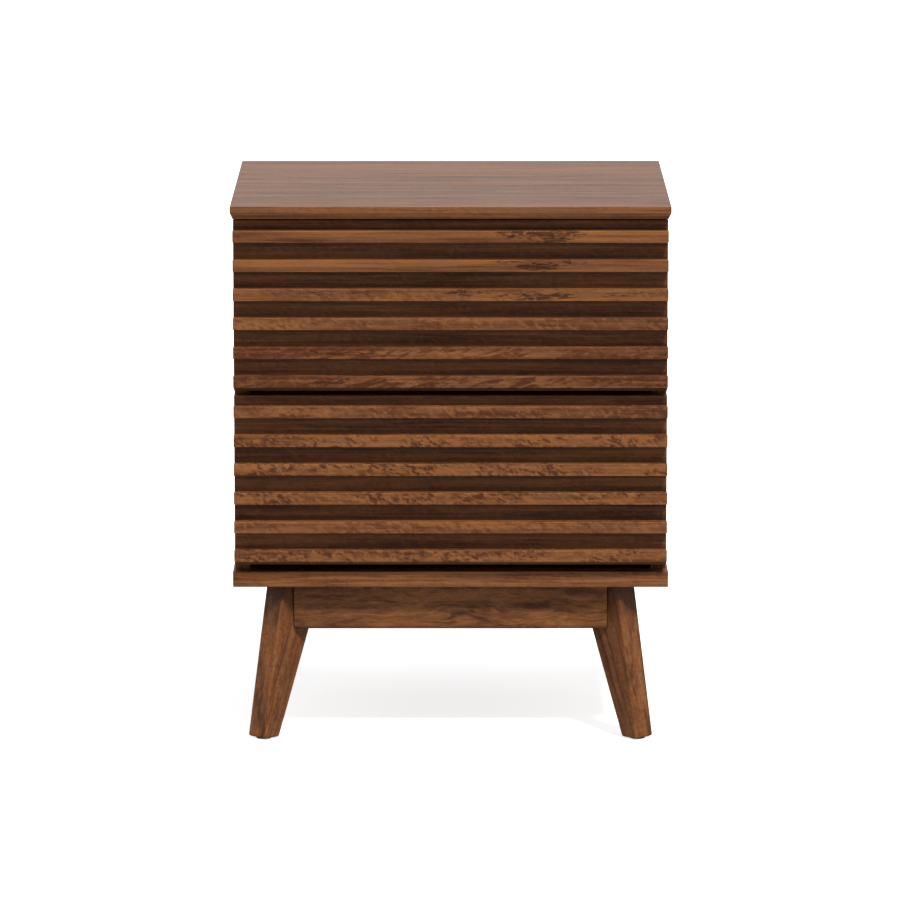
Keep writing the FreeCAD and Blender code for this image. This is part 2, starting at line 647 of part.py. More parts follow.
def make_runner(drawer, side, sign):
    """A runner's fixed rail, moving rail and ball cage."""
    height = runner_height(drawer)
    facing_right = ((0, 0, 1), 0)
    facing_left = ((0, 0, 1), 180)
    inwards, outwards = (facing_right, facing_left) if side == "left" else (facing_left, facing_right)
    metal = "Dims.metal_thickness"
    fixed = channel(f"{drawer}_{side}_fixed", "Dims.fixed_half_height", "Dims.fixed_flange", metal,
                    "Dims.runner_length")
    move(fixed, (f"{sign} * {CASE_INSIDE}", RUNNER_MIDDLE, f"{height} - Dims.fixed_half_height"), inwards)
    fixed_holes = []
    for place, turn in fixed_screw_places():
        if place[2] == height and (turn == TO_LEFT) == (side == "left"):
            bar = hole("fixed_rail", "Dims.screw_radius", "Dims.rail_screw_length", place, turn)
            fixed_holes.append(bar)
    keep(cut(fixed, fixed_holes), f"{drawer}_fixed_rail_{side}")
    moving = channel(f"{drawer}_{side}_moving", "Dims.moving_half_height", "Dims.moving_flange", metal,
                     "Dims.runner_length")
    move(moving, (f"{sign} * {BOX_OUTSIDE}", RUNNER_MIDDLE, f"{height} - Dims.moving_half_height"), outwards)
    moving_holes = []
    for place, turn in moving_screw_places(drawer, side, sign):
        bar = hole("moving_rail", "Dims.screw_radius", "Dims.drawer_screw_length", place, turn)
        moving_holes.append(bar)
    keep(cut(moving, moving_holes), f"{drawer}_moving_rail_{side}")
    make_cage(drawer, side, sign, inwards)


def make_cage(drawer, side, sign, turn):
    """A ball cage: a pressed steel strip that holds two rows of loose balls."""
    height = runner_height(drawer)
    strip = channel(f"{drawer}_{side}_strip", "Dims.cage_half_height", "Dims.cage_flange",
                    "Dims.cage_thickness", "Dims.cage_length")
    across = f"{sign} * ({CASE_INSIDE} - Dims.cage_setback)"
    move(strip, (across, RUNNER_MIDDLE, f"{height} - Dims.cage_half_height"), turn)
    seats = []
    balls = []
    middle = f"{sign} * ({CASE_INSIDE} - Dims.ball_inset)"
    for i in range(BALLS):
        along = f"{RUNNER_MIDDLE} + {i - (BALLS - 1) / 2} * Dims.ball_pitch"
        below = f"{height} - Dims.cage_half_height - Dims.seat_reach"
        seats.append(cylinder("ball_seat", "Dims.ball_radius + Dims.seat_slack",
                              "2 * (Dims.cage_half_height + Dims.seat_reach)", (middle, along, below)))
        for row in (-1, 1):
            ball = DOC.addObject("Part::Sphere", "ball")
            ball.setExpression("Radius", "Dims.ball_radius")
            move(ball, (middle, along, f"{height} + {row} * Dims.ball_height"))
            balls.append(ball)
    group(f"{drawer}_ball_cage_{side}", [cut(strip, seats)] + balls)


def moving_screw_places(drawer, side, sign):
    """Where the screws of a moving rail sit, on its web: (place, turn)."""
    for share in MOVING_RAIL_SCREWS:
        place = (f"{sign} * ({BOX_OUTSIDE} + Dims.metal_thickness)",
                 f"{RUNNER_FRONT} + {share} * Dims.runner_length", runner_height(drawer))
        yield place, TO_RIGHT if side == "left" else TO_LEFT


# The drawers.

def front_screw_places(drawer):
    """Where the screws sit that hold a slatted front to its drawer box."""
    for _, sign in SIDES:
        for height in ("Dims.front_screw_low", "Dims.front_screw_high"):
            across = f"{sign} * Dims.front_screw_across"
            yield across, f"{PANEL_REAR} + Dims.box_thickness", f"{box_floor(drawer)} + {height}"


def make_front(drawer, holes):
    """A slatted front: a flat panel with its proud slats."""
    size = ("Dims.case_width", "Dims.front_thickness", "Dims.front_height")
    corner = ("-Dims.case_width / 2", PANEL_FACE, panel_floor(drawer))
    keep(cut(board(f"{drawer}_panel_blank", size, corner), holes), f"{drawer}_front_panel")
    for i in range(SLATS):
        floor = (f"{panel_floor(drawer)} + Dims.front_height - Dims.slat_margin - Dims.slat_height"
                 f" - {i} * Dims.slat_pitch")
        slat = board(f"{drawer}_slat_blank", ("Dims.slat_width", "Dims.slat_depth", "Dims.slat_height"),
                     ("-Dims.slat_width / 2", SLAT_FACE, floor))
        keep(slat, f"{drawer}_slat_{i + 1}")


def make_box(drawer, holes):
    """A drawer box: two sides, a front and a rear wall, and a thin bottom in their groove."""
    floor = box_floor(drawer)
    wall = "Dims.box_thickness"
    round_off = "Dims.edge_round / 2"
    groove_size = (f"2 * ({BOX_INSIDE} + Dims.groove_depth)",
                   f"Dims.box_depth - 2 * {wall} + 2 * Dims.groove_depth", "Dims.floor_thickness")
    groove_corner = (f"-{BOX_INSIDE} - Dims.groove_depth", f"{PANEL_REAR} + {wall} - Dims.groove_depth",
                     f"{floor} + Dims.floor_lift")
    groove = block(f"{drawer}_groove", groove_size, groove_corner)
    for side, sign in SIDES:
        start = BOX_INSIDE if sign > 0 else f"-{BOX_OUTSIDE}"
        body = board(f"{drawer}_{side}_blank", (wall, "Dims.box_depth", "Dims.box_height"),
                     (start, PANEL_REAR, floor), round_off)
        keep(cut(body, [groove] + holes), f"{drawer}_box_{side}")
    for name, start in (("front", PANEL_REAR), ("rear", f"{BOX_REAR} - {wall}")):
        body = board(f"{drawer}_{name}_blank", (f"2 * {BOX_INSIDE}", wall, "Dims.box_height"),
                     (f"-{BOX_INSIDE}", start, floor), round_off)
        tools = [groove] + (holes if name == "front" else [])
        keep(cut(body, tools), f"{drawer}_box_{name}")
    play = "Dims.bottom_play"
    size = (f"{groove_size[0]} - 2 * {play}", f"{groove_size[1]} - 2 * {play}", groove_size[2])
    corner = (f"{groove_corner[0]} + {play}", f"{groove_corner[1]} + {play}", groove_corner[2])
    keep(board(f"{drawer}_bottom_blank", size, corner, None), f"{drawer}_box_bottom")


def make_drawer(drawer):
    """One drawer with its front, its box and its screws."""
    holes = []
    screws = []
    for place in front_screw_places(drawer):
        holes.append(hole("front_screw", "Dims.screw_radius", "Dims.front_screw_length", place, TO_FRONT))
        screws.append(screw("front_screw", "Dims.front_screw_length", place, TO_FRONT))
    for side, sign in SIDES:
        for place, turn in moving_screw_places(drawer, side, sign):
            holes.append(hole("drawer_screw", "Dims.screw_radius", "Dims.drawer_screw_length", place, turn))
            screws.append(screw("drawer_screw", "Dims.drawer_screw_length", place, turn))
    make_front(drawer, holes)
    make_box(drawer, holes)
    group(f"{drawer}_drawer_screws", screws)


def check_and_write():
    """Stops if anything failed, and writes each node's solid to its own file."""
    DOC.recompute()
    for thing in DOC.Objects:
        if "Invalid" in thing.State or "Error" in thing.State:
            raise RuntimeError(f"{thing.Name} failed: {thing.State}")
    names = [node.Label for node in NODES]
    if len(set(names)) != len(names):
        raise RuntimeError("two nodes share a name")
    os.makedirs("parts", exist_ok=True)
    for node in NODES:
        if node.Shape.isNull() or not node.Shape.isValid():
            raise RuntimeError(f"{node.Label} has a bad shape")
        node.Shape.exportStep(f"parts/{node.Label}.step")
    print(len(NODES), "nodes written")


def main():
    """Builds the cabinet."""
    fill_sheet()
    block_holes = make_block_holes()
    case_holes = make_case_holes()
    leg_holes = make_leg_holes()
    make_top(case_holes)
    make_bottom(case_holes + [bar for bars in block_holes.values() for bar in bars])
    make_sides(case_holes)
    make_back(case_holes)
    make_stretcher(case_holes)
    make_case_fittings()
    make_legs(leg_holes)
    make_aprons(leg_holes)
    make_blocks(block_holes)
    make_base_fittings()
    make_dowels()
    for drawer in DRAWERS:
        for side, sign in SIDES:
            make_runner(drawer, side, sign)
        make_drawer(drawer)
    rail_screws = [screw("rail_screw", "Dims.rail_screw_length", place, turn)
                   for place, turn in fixed_screw_places()]
    group("rail_screws", rail_screws)
    check_and_write()


main()
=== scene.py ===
"""A bedside cabinet of walnut with two slatted drawers, dressed for a studio picture.

Metres. +X is to the right of a person facing the drawers, +Y is the back and +Z is up.
"""
import json
import math

import bpy
from mathutils import Matrix, Vector


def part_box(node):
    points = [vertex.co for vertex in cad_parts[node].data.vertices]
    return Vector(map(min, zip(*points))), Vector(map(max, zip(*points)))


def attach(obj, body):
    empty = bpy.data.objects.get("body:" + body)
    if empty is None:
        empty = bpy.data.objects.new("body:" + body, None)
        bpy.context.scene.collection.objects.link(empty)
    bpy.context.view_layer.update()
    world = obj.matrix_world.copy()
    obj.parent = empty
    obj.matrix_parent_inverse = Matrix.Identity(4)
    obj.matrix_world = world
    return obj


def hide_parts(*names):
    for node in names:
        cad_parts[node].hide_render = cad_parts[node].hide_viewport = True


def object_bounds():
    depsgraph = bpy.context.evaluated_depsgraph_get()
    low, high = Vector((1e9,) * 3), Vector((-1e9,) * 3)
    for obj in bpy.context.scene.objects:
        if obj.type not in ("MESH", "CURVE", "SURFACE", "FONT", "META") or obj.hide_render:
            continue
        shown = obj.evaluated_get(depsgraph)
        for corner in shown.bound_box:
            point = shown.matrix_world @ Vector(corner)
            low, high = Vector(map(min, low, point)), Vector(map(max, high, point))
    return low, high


bl_info = {
    "name": "Slatted Bedside Cabinet",
    "version": (1, 0, 0),
    "blender": (4, 5, 0),
    "location": "View3D > Sidebar > Cabinet",
    "description": "Finishes a walnut bedside cabinet and sets up its studio",
    "category": "Object",
}

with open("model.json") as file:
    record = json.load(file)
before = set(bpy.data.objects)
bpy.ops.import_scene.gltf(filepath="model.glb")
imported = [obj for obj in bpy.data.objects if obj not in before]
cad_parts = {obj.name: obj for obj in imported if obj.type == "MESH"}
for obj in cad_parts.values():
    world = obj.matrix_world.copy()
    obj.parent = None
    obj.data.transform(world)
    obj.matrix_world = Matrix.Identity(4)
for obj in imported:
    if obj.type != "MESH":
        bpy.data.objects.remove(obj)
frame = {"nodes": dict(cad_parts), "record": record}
CAD_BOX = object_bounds()
LOW, HIGH = CAD_BOX
NODE_BODY = {n: b for b, names in frame["record"]["behaviour"]["bodies"].items() for n in names}

SLAT_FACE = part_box("upper_slat_1")[0].y
SLATS = 6
PLY_LAYER = 0.0015
LEG_LEAN = 0.048
FLOOR_REACH = 30.0
FLOOR_DROP = 0.0002
BUMP_REACH = 0.0004
FLARE_SHARE = 0.85
# How strongly the painted shade darkens the wood.
PAINTED_SHADE_SHARE = 0.7
SMOOTH_ANGLE = math.radians(30)
KEY_DISTANCE = 3.0
CAMERA_REACH = 100.0
DRAWERS = ("upper", "lower")
PANEL_SEEDS = {"upper": 74.0, "lower": 83.0}
SLAT_SEEDS = {"upper": 92.0, "lower": 107.0}
SCREW_NODES = ("back_panel_screws", "base_screws", "rail_screws", "lower_drawer_screws",
               "upper_drawer_screws")
CORNERS = {"front_left": (-1, -1), "front_right": (1, -1), "rear_left": (-1, 1), "rear_right": (1, 1)}


def colour_prop(name, description, default):
    """A colour that a user may change."""
    return bpy.props.FloatVectorProperty(name=name, description=description, default=default, size=3,
                                         min=0.0, max=1.0, subtype="COLOR")


def length_prop(name, description, default):
    """A length in metres that a user may change."""
    return bpy.props.FloatProperty(name=name, description=description, default=default,
                                   unit="LENGTH", subtype="DISTANCE")


def factor_prop(name, description, default, top=1.0):
    """A plain share or strength that a user may change."""
    return bpy.props.FloatProperty(name=name, description=description, default=default,
                                   min=0.0, max=top)


def angle_prop(name, description, degrees):
    """An angle that a user may change, kept in radians."""
    return bpy.props.FloatProperty(name=name, description=description,
                                   default=math.radians(degrees), unit="ROTATION", subtype="ANGLE")


class CabinetWalnut(bpy.types.PropertyGroup):
    """The colours and figure of the walnut."""
    light: colour_prop("Light Wood", "Colour of the light growth between the veins", (0.292, 0.108, 0.033))
    dark: colour_prop("Dark Wood", "Colour of the dark growth", (0.082, 0.022, 0.006))
    vein: colour_prop("Veins", "Colour of the darkest veins and flecks", (0.032, 0.008, 0.002))
    grey: colour_prop("Grey Wood", "Colour of the dull patches", (0.200, 0.092, 0.042))
    roughness: factor_prop("Roughness", "Roughness of the satin lacquer", 0.42)
    pore_depth: factor_prop("Pore Depth", "Strength of the bump of the open pores", 0.25)


class CabinetInside(bpy.types.PropertyGroup):
    """The finishes that show when the cabinet is open or turned round."""
    birch: colour_prop("Drawer Birch", "Colour of the drawer boxes' plywood", (0.60, 0.42, 0.25))
    birch_layer: colour_prop("Plywood Layers", "Colour of the plywood's dark layers", (0.36, 0.22, 0.11))
    hardboard: colour_prop("Back Board", "Colour of the back panel", (0.16, 0.085, 0.045))
    beech: colour_prop("Beech", "Colour of the stretcher and the corner blocks", (0.45, 0.27, 0.14))
    steel: colour_prop("Steel", "Colour of the zinc-plated rails and screws", (0.62, 0.63, 0.64))
    rubber: colour_prop("Rubber", "Colour of the bumpers", (0.62, 0.60, 0.55))
    glide: colour_prop("Glides", "Colour of the foot glides", (0.035, 0.028, 0.024))


class CabinetSlats(bpy.types.PropertyGroup):
    """The shape of the slats beyond their outer sizes."""
    edge_radius: length_prop("Edge Radius", "Rounding of a slat's long edges", 0.0009)


class CabinetHardware(bpy.types.PropertyGroup):
    """The sizes of the small hardware."""
    recess: factor_prop("Recess", "Width of a screw's cross recess, as a share of its head", 0.55)
    recess_slot: factor_prop("Recess Slot", "Width of the recess's arms, as a share of its head", 0.16)
    dome: factor_prop("Dome", "How far a screw's head is domed, as a share of its height", 0.45)


class CabinetStage(bpy.types.PropertyGroup):
    """The studio: floor, lights and camera."""
    floor: colour_prop("Floor", "Colour of the floor", (0.92, 0.92, 0.92))
    floor_dim: factor_prop("Floor Dimming", "How much darker the floor is to what it lights", 0.5)
    floor_glow: factor_prop("Floor Glow", "How much paler the floor is to the camera", 0.72)
    ambient: factor_prop("Ambient", "Strength of the even light from all round", 0.5, 10.0)
    shine: factor_prop("Shine", "Strength of the rear wall that the lacquer mirrors", 0.95, 10.0)
    key: factor_prop("Key Light", "Strength of the key light", 2.95, 100.0)
    key_size: angle_prop("Key Size", "How large the key light looks", 9)
    key_height: angle_prop("Key Height", "How high the key light stands", 54)
    key_side: angle_prop("Key Side", "How far round to the right the key light stands", 25)
    distance: length_prop("Camera Distance", "Camera to the slats' faces", 6.331)
    height: length_prop("Camera Height", "Camera above the top board", 0.842)
    aside: length_prop("Camera Aside", "Camera to the right of the middle", -0.0006)
    tilt: angle_prop("Camera Tilt", "How far the camera looks down", 9.896)
    lens: bpy.props.FloatProperty(name="Lens", description="Focal length", default=240.2, min=1.0,
                                  unit="CAMERA")


# Shader nodes.

def add(tree, kind, inputs=None, **settings):
    """A node of a kind. inputs maps a socket's name or number to a value or another node's socket."""
    node = tree.nodes.new(kind)
    for name, value in settings.items():
        setattr(node, name, value)
    for name, value in (inputs or {}).items():
        if isinstance(value, bpy.types.NodeSocket):
            tree.links.new(value, node.inputs[name])
        else:
            node.inputs[name].default_value = value
    return node


def maths(tree, operation, first, second=0.0, third=0.0, clamp=False):
    """The result of a Math node."""
    node = add(tree, "ShaderNodeMath", {0: first, 1: second, 2: third}, operation=operation,
               use_clamp=clamp)
    return node.outputs[0]


def times(tree, first, second):
    """One number times another."""
    return maths(tree, "MULTIPLY", first, second)


def vector_maths(tree, operation, first, second):
    """The result of a Vector Math node."""
    return add(tree, "ShaderNodeVectorMath", {0: first, 1: second}, operation=operation).outputs[0]


def xyz(tree, x=0.0, y=0.0, z=0.0):
    """A vector put together from three numbers or sockets."""
    return add(tree, "ShaderNodeCombineXYZ", {0: x, 1: y, 2: z}).outputs[0]


def noise(tree, place, scale, detail=3.0, roughness=0.55, distortion=0.0):
    """Noise, from about 0 to 1, over coordinates stretched by scale, three numbers."""
    stretched = vector_maths(tree, "MULTIPLY", place, scale)
    node = add(tree, "ShaderNodeTexNoise", {"Vector": stretched, "Scale": 1.0, "Detail": detail,
                                            "Roughness": roughness, "Distortion": distortion})
    return node.outputs[0]


def split(tree, vector):
    """The three numbers of a vector."""
    return add(tree, "ShaderNodeSeparateXYZ", {0: vector}).outputs


def object_place(tree):
    """Where a point is in the frame."""
    return add(tree, "ShaderNodeTexCoord").outputs["Object"]


def ramp(tree, value, low, high):
    """The value stretched so that low becomes 0 and high becomes 1, held between them."""
    node = add(tree, "ShaderNodeMapRange", {0: value, 1: low, 2: high, 3: 0.0, 4: 1.0}, clamp=True,
               interpolation_type="SMOOTHSTEP")
    return node.outputs[0]


def mix(tree, share, first, second, blend="MIX"):
    """One colour over another."""
    node = add(tree, "ShaderNodeMix", {0: share, 6: first, 7: second}, data_type="RGBA", blend_type=blend)
    return node.outputs[2]


def new_group(name, inputs, outputs):
    """A shader node group with named sockets: (tree, its inputs, its output node).

    inputs are (name, kind, default) and outputs are (name, kind).
    """
    tree = bpy.data.node_groups.new(name, "ShaderNodeTree")
    for label, kind, default in inputs:
        socket = tree.interface.new_socket(label, in_out="INPUT", socket_type=kind)
        if default is not None:
            socket.default_value = default
    for label, kind in outputs:
        tree.interface.new_socket(label, in_out="OUTPUT", socket_type=kind)
    return tree, add(tree, "NodeGroupInput").outputs, add(tree, "NodeGroupOutput")


def give(tree, result, sockets):
    """Links what a group puts out, by name, to its output node."""
    for name, socket in sockets.items():
        tree.links.new(socket, result.inputs[name])


FINISH_OUTPUTS = [("Colour", "NodeSocketColor"), ("Roughness", "NodeSocketFloat"),
                  ("Height", "NodeSocketFloat")]


FIGURE = {"Balance": 0.45, "Streak": 0.5, "Ring": 1.0, "Stretch": 1.0, "Sway": 0.004, "Growth": 0.35,
          "Mottle": 0.1, "Flame": 0.0, "Curl": 0.0, "Haze": 0.35}


def build_walnut_figure():
    """Walnut: rings, streaks, flecks, flames, curl and pores. The grain runs along X."""
    colours = [(name, "NodeSocketColor", (0.2, 0.1, 0.05, 1)) for name in ("Light", "Dark", "Vein", "Grey")]
    numbers = [(name, "NodeSocketFloat", value) for name, value in FIGURE.items()]
    tree, take, result = new_group(
        "walnut_figure",
        [("Vector", "NodeSocketVector", None), ("Seed", "NodeSocketFloat", 0.0)] + colours + numbers,
        FINISH_OUTPUTS)
    shift = xyz(tree, *(times(tree, take["Seed"], step) for step in (1.37, 0.71, 0.93)))
    place = vector_maths(tree, "ADD", take["Vector"], shift)
    wander = noise(tree, place, (9, 22, 22), 2.0)
    drift = times(tree, maths(tree, "SUBTRACT", wander, 0.5), take["Sway"])
    bent = vector_maths(tree, "ADD", place, xyz(tree, 0.0, drift, drift))
    ringed = vector_maths(tree, "MULTIPLY", bent, xyz(tree, take["Stretch"], take["Ring"], take["Ring"]))
    bands = noise(tree, ringed, (3.5, 85, 85), 4.0, 0.55)
    veins = noise(tree, ringed, (3.0, 170, 170), 2.0, 0.5)
    streaks = noise(tree, bent, (9, 420, 420), 4.0, 0.65)
    banded = times(tree, maths(tree, "SUBTRACT", bands, 0.5), 2.8)
    streaked = times(tree, maths(tree, "SUBTRACT", streaks, 0.5), times(tree, take["Streak"], 4.0))
    tone = maths(tree, "ADD", banded, streaked)
    share = maths(tree, "ADD", tone, take["Balance"], clamp=True)
    colour = mix(tree, share, take["Light"], take["Dark"])
    hazy = times(tree, ramp(tree, noise(tree, bent, (14, 110, 110), 2.0), 0.42, 0.66), take["Haze"])
    colour = mix(tree, hazy, colour, take["Grey"])
    veined = times(tree, ramp(tree, veins, 0.54, 0.68), take["Growth"])
    colour = mix(tree, veined, colour, take["Vein"])
    slant = lean(tree, place, 14)
    flames = ramp(tree, noise(tree, slant, (34, 170, 170), 2.0, 0.55, 0.9), 0.44, 0.62)
    colour = mix(tree, times(tree, flames, take["Flame"]), colour, take["Dark"])
    steep = lean(tree, place, -27)
    blotch = noise(tree, steep, (125, 250, 250), 3.0, 0.6, 0.5)
    patches = ramp(tree, noise(tree, place, (24, 70, 70), 1.0), 0.36, 0.58)
    fleck = times(tree, ramp(tree, blotch, 0.46, 0.62), patches)
    colour = mix(tree, times(tree, fleck, take["Mottle"]), colour, take["Dark"])
    bright = times(tree, ramp(tree, blotch, 0.48, 0.34), take["Mottle"])
    colour = mix(tree, times(tree, bright, 0.8), colour, take["Light"])
    curl = ramp(tree, noise(tree, place, (430, 85, 85), 2.0, 0.5, 0.7), 0.52, 0.64)
    colour = mix(tree, times(tree, curl, take["Curl"]), colour, take["Dark"])
    pores = ramp(tree, noise(tree, place, (170, 2600, 2600), 2.0), 0.60, 0.72)
    colour = mix(tree, times(tree, pores, 0.45), colour, take["Vein"])
    rough = maths(tree, "ADD", times(tree, streaks, 0.16), times(tree, pores, 0.15))
    give(tree, result, {"Colour": colour, "Roughness": maths(tree, "SUBTRACT", rough, 0.08),
                        "Height": maths(tree, "SUBTRACT", times(tree, streaks, 0.35), pores)})
    return tree


def lean(tree, place, degrees):
    """Coordinates turned about the width of the face, so that a figure runs at a slant."""
    turned = add(tree, "ShaderNodeVectorRotate", {"Vector": place, "Angle": math.radians(degrees)},
                 rotation_type="Y_AXIS")
    return turned.outputs[0]


def build_knot_flare():
    """Dark flecks round a pin knot, pulled out along the grain, which runs along X."""
    tree, take, result = new_group(
        "knot_flare",
        [("Vector", "NodeSocketVector", None), ("Centre", "NodeSocketVector", (0, 0, 0)),
         ("Reach", "NodeSocketVector", (0.04, 0.02, 0.006)), ("Cover", "NodeSocketFloat", 0.5)],
        [("Mask", "NodeSocketFloat")])
    offset = vector_maths(tree, "SUBTRACT", take["Vector"], take["Centre"])
    away = vector_maths(tree, "DIVIDE", offset, take["Reach"])
    length = add(tree, "ShaderNodeVectorMath", {0: away}, operation="LENGTH").outputs["Value"]
    fade = ramp(tree, length, 1.1, 0.3)
    dashes = noise(tree, take["Vector"], (85, 360, 360), 3.0, 0.6, 0.8)
    level = maths(tree, "ADD", dashes, times(tree, maths(tree, "SUBTRACT", fade, 1.0), 0.2))
    edge = maths(tree, "SUBTRACT", 0.6, times(tree, take["Cover"], 0.2))
    flecks = maths(tree, "MULTIPLY", maths(tree, "SUBTRACT", level, edge), 9.0, clamp=True)
    give(tree, result, {"Mask": times(tree, flecks, ramp(tree, length, 1.2, 0.8))})
    return tree


def build_painted_shade_line():
    """Painted shade: darkening in the corners above and below the slats, where shade falls. Heights are
    along Z.
    """
    tree, take, result = new_group(
        "stain_line",
        [("Vector", "NodeSocketVector", None), ("Middle", "NodeSocketFloat", 0.5),
         ("Pitch", "NodeSocketFloat", 0.03), ("Height", "NodeSocketFloat", 0.013),
         ("Reach", "NodeSocketFloat", 0.003)],
        [("Mask", "NodeSocketFloat")])
    above = maths(tree, "SUBTRACT", split(tree, take["Vector"])[2], take["Middle"])
    half = times(tree, take["Pitch"], 0.5)
    near = maths(tree, "ABSOLUTE", maths(tree, "WRAP", above, half, times(tree, half, -1.0)))
    gap = maths(tree, "SUBTRACT", near, times(tree, take["Height"], 0.5))
    wobble = times(tree, noise(tree, take["Vector"], (60, 60, 60), 2.0), take["Reach"])
    width = maths(tree, "ADD", wobble, times(tree, take["Reach"], 0.5))
    share = maths(tree, "DIVIDE", gap, width)
    give(tree, result, {"Mask": maths(tree, "SUBTRACT", 1.0, share, clamp=True)})
    return tree


def build_pale_timber():
    """Birch or beech: an even pale wood with faint streaks and short rays. Grain runs along X."""
    tree, take, result = new_group(
        "pale_timber",
        [("Vector", "NodeSocketVector", None), ("Colour", "NodeSocketColor", (0.6, 0.4, 0.25, 1)),
         ("Contrast", "NodeSocketFloat", 0.3)],
        FINISH_OUTPUTS)
    streaks = noise(tree, take["Vector"], (5, 210, 210), 4.0, 0.6)
    bands = noise(tree, take["Vector"], (2, 22, 22), 2.0)
    rays = ramp(tree, noise(tree, take["Vector"], (140, 1500, 1500), 1.0), 0.62, 0.72)
    tone = maths(tree, "ADD", streaks, times(tree, bands, 0.8))
    share = times(tree, ramp(tree, tone, 0.7, 1.15), take["Contrast"])
    colour = mix(tree, share, take["Colour"], (0.55, 0.42, 0.3, 1), "MULTIPLY")
    colour = mix(tree, times(tree, rays, 0.25), colour, (0.5, 0.36, 0.24, 1), "MULTIPLY")
    give(tree, result, {"Colour": colour, "Roughness": times(tree, streaks, 0.1),
                        "Height": maths(tree, "SUBTRACT", streaks, rays)})
    return tree


def build_plating():
    """Zinc plate on steel: soft clouds and fine drawing lines along X."""
    tree, take, result = new_group(
        "zinc_plating",
        [("Vector", "NodeSocketVector", None), ("Colour", "NodeSocketColor", (0.6, 0.6, 0.6, 1))],
        FINISH_OUTPUTS)
    clouds = noise(tree, take["Vector"], (90, 90, 90), 3.0)
    lines = noise(tree, take["Vector"], (20, 2400, 2400), 2.0)
    colour = mix(tree, ramp(tree, clouds, 0.35, 0.7), take["Colour"], (0.78, 0.8, 0.84, 1), "MULTIPLY")
    give(tree, result, {"Colour": colour, "Height": lines,
                        "Roughness": times(tree, maths(tree, "ADD", clouds, lines), 0.14)})
    return tree


GROUP_BUILDERS = {"walnut_figure": build_walnut_figure, "knot_flare": build_knot_flare,
                  "stain_line": build_painted_shade_line, "pale_timber": build_pale_timber,
                  "zinc_plating": build_plating}


def use(tree, name, inputs):
    """The outputs of a shared shader group, which is built the first time that it is asked for."""
    group = bpy.data.node_groups.get(name) or GROUP_BUILDERS[name]()
    return add(tree, "ShaderNodeGroup", inputs, node_tree=group).outputs


def rgba(colour, gain=1.0):
    """A colour property as four numbers, made lighter or darker by gain."""
    return tuple(min(1.0, part * gain) for part in colour) + (1.0,)


def grain_turn(along, across):
    """The turn, as Euler angles, that takes a piece's grain to X and its width to Z."""
    length = Vector(along).normalized()
    width = Vector(across)
    width = (width - length * width.dot(length)).normalized()
    return Matrix((length, width.cross(length), width)).to_euler()


ALONG_X = grain_turn((1, 0, 0), (0, 0, 1))
ALONG_Y = grain_turn((0, 1, 0), (0, 0, 1))
ALONG_Z = grain_turn((0, 0, 1), (0, 1, 0))


def start_material(name, turn=ALONG_X):
    """A new material with its coordinates turned to the grain: (material, tree, coordinates)."""
    material = bpy.data.materials.new(name)
    material.use_nodes = True
    tree = material.node_tree
    tree.nodes.clear()
    turned = add(tree, "ShaderNodeMapping", {"Vector": object_place(tree), "Rotation": turn},
                 vector_type="POINT")
    return material, tree, turned.outputs[0]


def finish_material(tree, colour, roughness, height, bump, metallic=0.0, specular=0.5):
    """Ends a material in a Principled BSDF with a bump."""
    dent = add(tree, "ShaderNodeBump", {"Strength": bump, "Distance": BUMP_REACH, "Height": height})
    shader = add(tree, "ShaderNodeBsdfPrincipled", {"Base Color": colour, "Roughness": roughness,
                                                    "Metallic": metallic, "Specular IOR Level": specular,
                                                    "Normal": dent.outputs[0]})
    output = add(tree, "ShaderNodeOutputMaterial")
    tree.links.new(shader.outputs[0], output.inputs["Surface"])
    return shader


def by_slat(tree, values):
    """The value of the slat that a point is on: one value for each slat, from the top."""
    number = add(tree, "ShaderNodeAttribute", attribute_name="slat_number", attribute_type="GEOMETRY")
    total = 0.0
    for i, value in enumerate(values):
        here = maths(tree, "COMPARE", number.outputs["Fac"], float(i), 0.1)
        total = maths(tree, "ADD", times(tree, here, value), total)
    return total


def make_walnut(name, turn=ALONG_X, seed=0.0, gain=(1.0, 1.0, 1.0), knots=(), stain=None, by_number=None,
                specular=0.2, **figure):
    """A walnut material. figure gives values to the group's other inputs, named in lower case.

    knots are (centre, reach, cover) in the turned coordinates. A painted shade darkens the wood near a
    level, or near each of several slats, where shade falls: (middle, pitch, slat height, reach). by_number
    gives an input a value for each slat.
    """
    walnut = bpy.context.scene.cabinet_walnut
    material, tree, place = start_material(name, turn)
    inputs = {"Vector": place, "Seed": seed}
    for socket in ("Light", "Dark", "Vein", "Grey"):
        shade = getattr(walnut, socket.lower())
        inputs[socket] = (*(min(1.0, part * more) for part, more in zip(shade, gain)), 1.0)
    for socket, value in figure.items():
        inputs[socket.title()] = value
    for socket, values in (by_number or {}).items():
        inputs[socket] = by_slat(tree, values)
    wood = use(tree, "walnut_figure", inputs)
    colour = wood["Colour"]
    for centre, reach, cover in knots:
        flare = use(tree, "knot_flare", {"Vector": place, "Centre": centre, "Reach": reach, "Cover": cover})
        colour = mix(tree, times(tree, flare["Mask"], FLARE_SHARE), colour, rgba(walnut.vein, 1.3))
    # Painted shade: the wood is darkened near a level or near the slats, where shade falls.
    if stain:
        middle, pitch, height, reach = stain
        line = use(tree, "stain_line", {"Vector": object_place(tree), "Middle": middle, "Pitch": pitch,
                                        "Height": height, "Reach": reach})
        colour = mix(tree, times(tree, line["Mask"], PAINTED_SHADE_SHARE), colour, rgba(walnut.vein, 0.6))
    rough = maths(tree, "ADD", wood["Roughness"], walnut.roughness)
    finish_material(tree, colour, rough, wood["Height"], walnut.pore_depth, specular=specular)
    return material


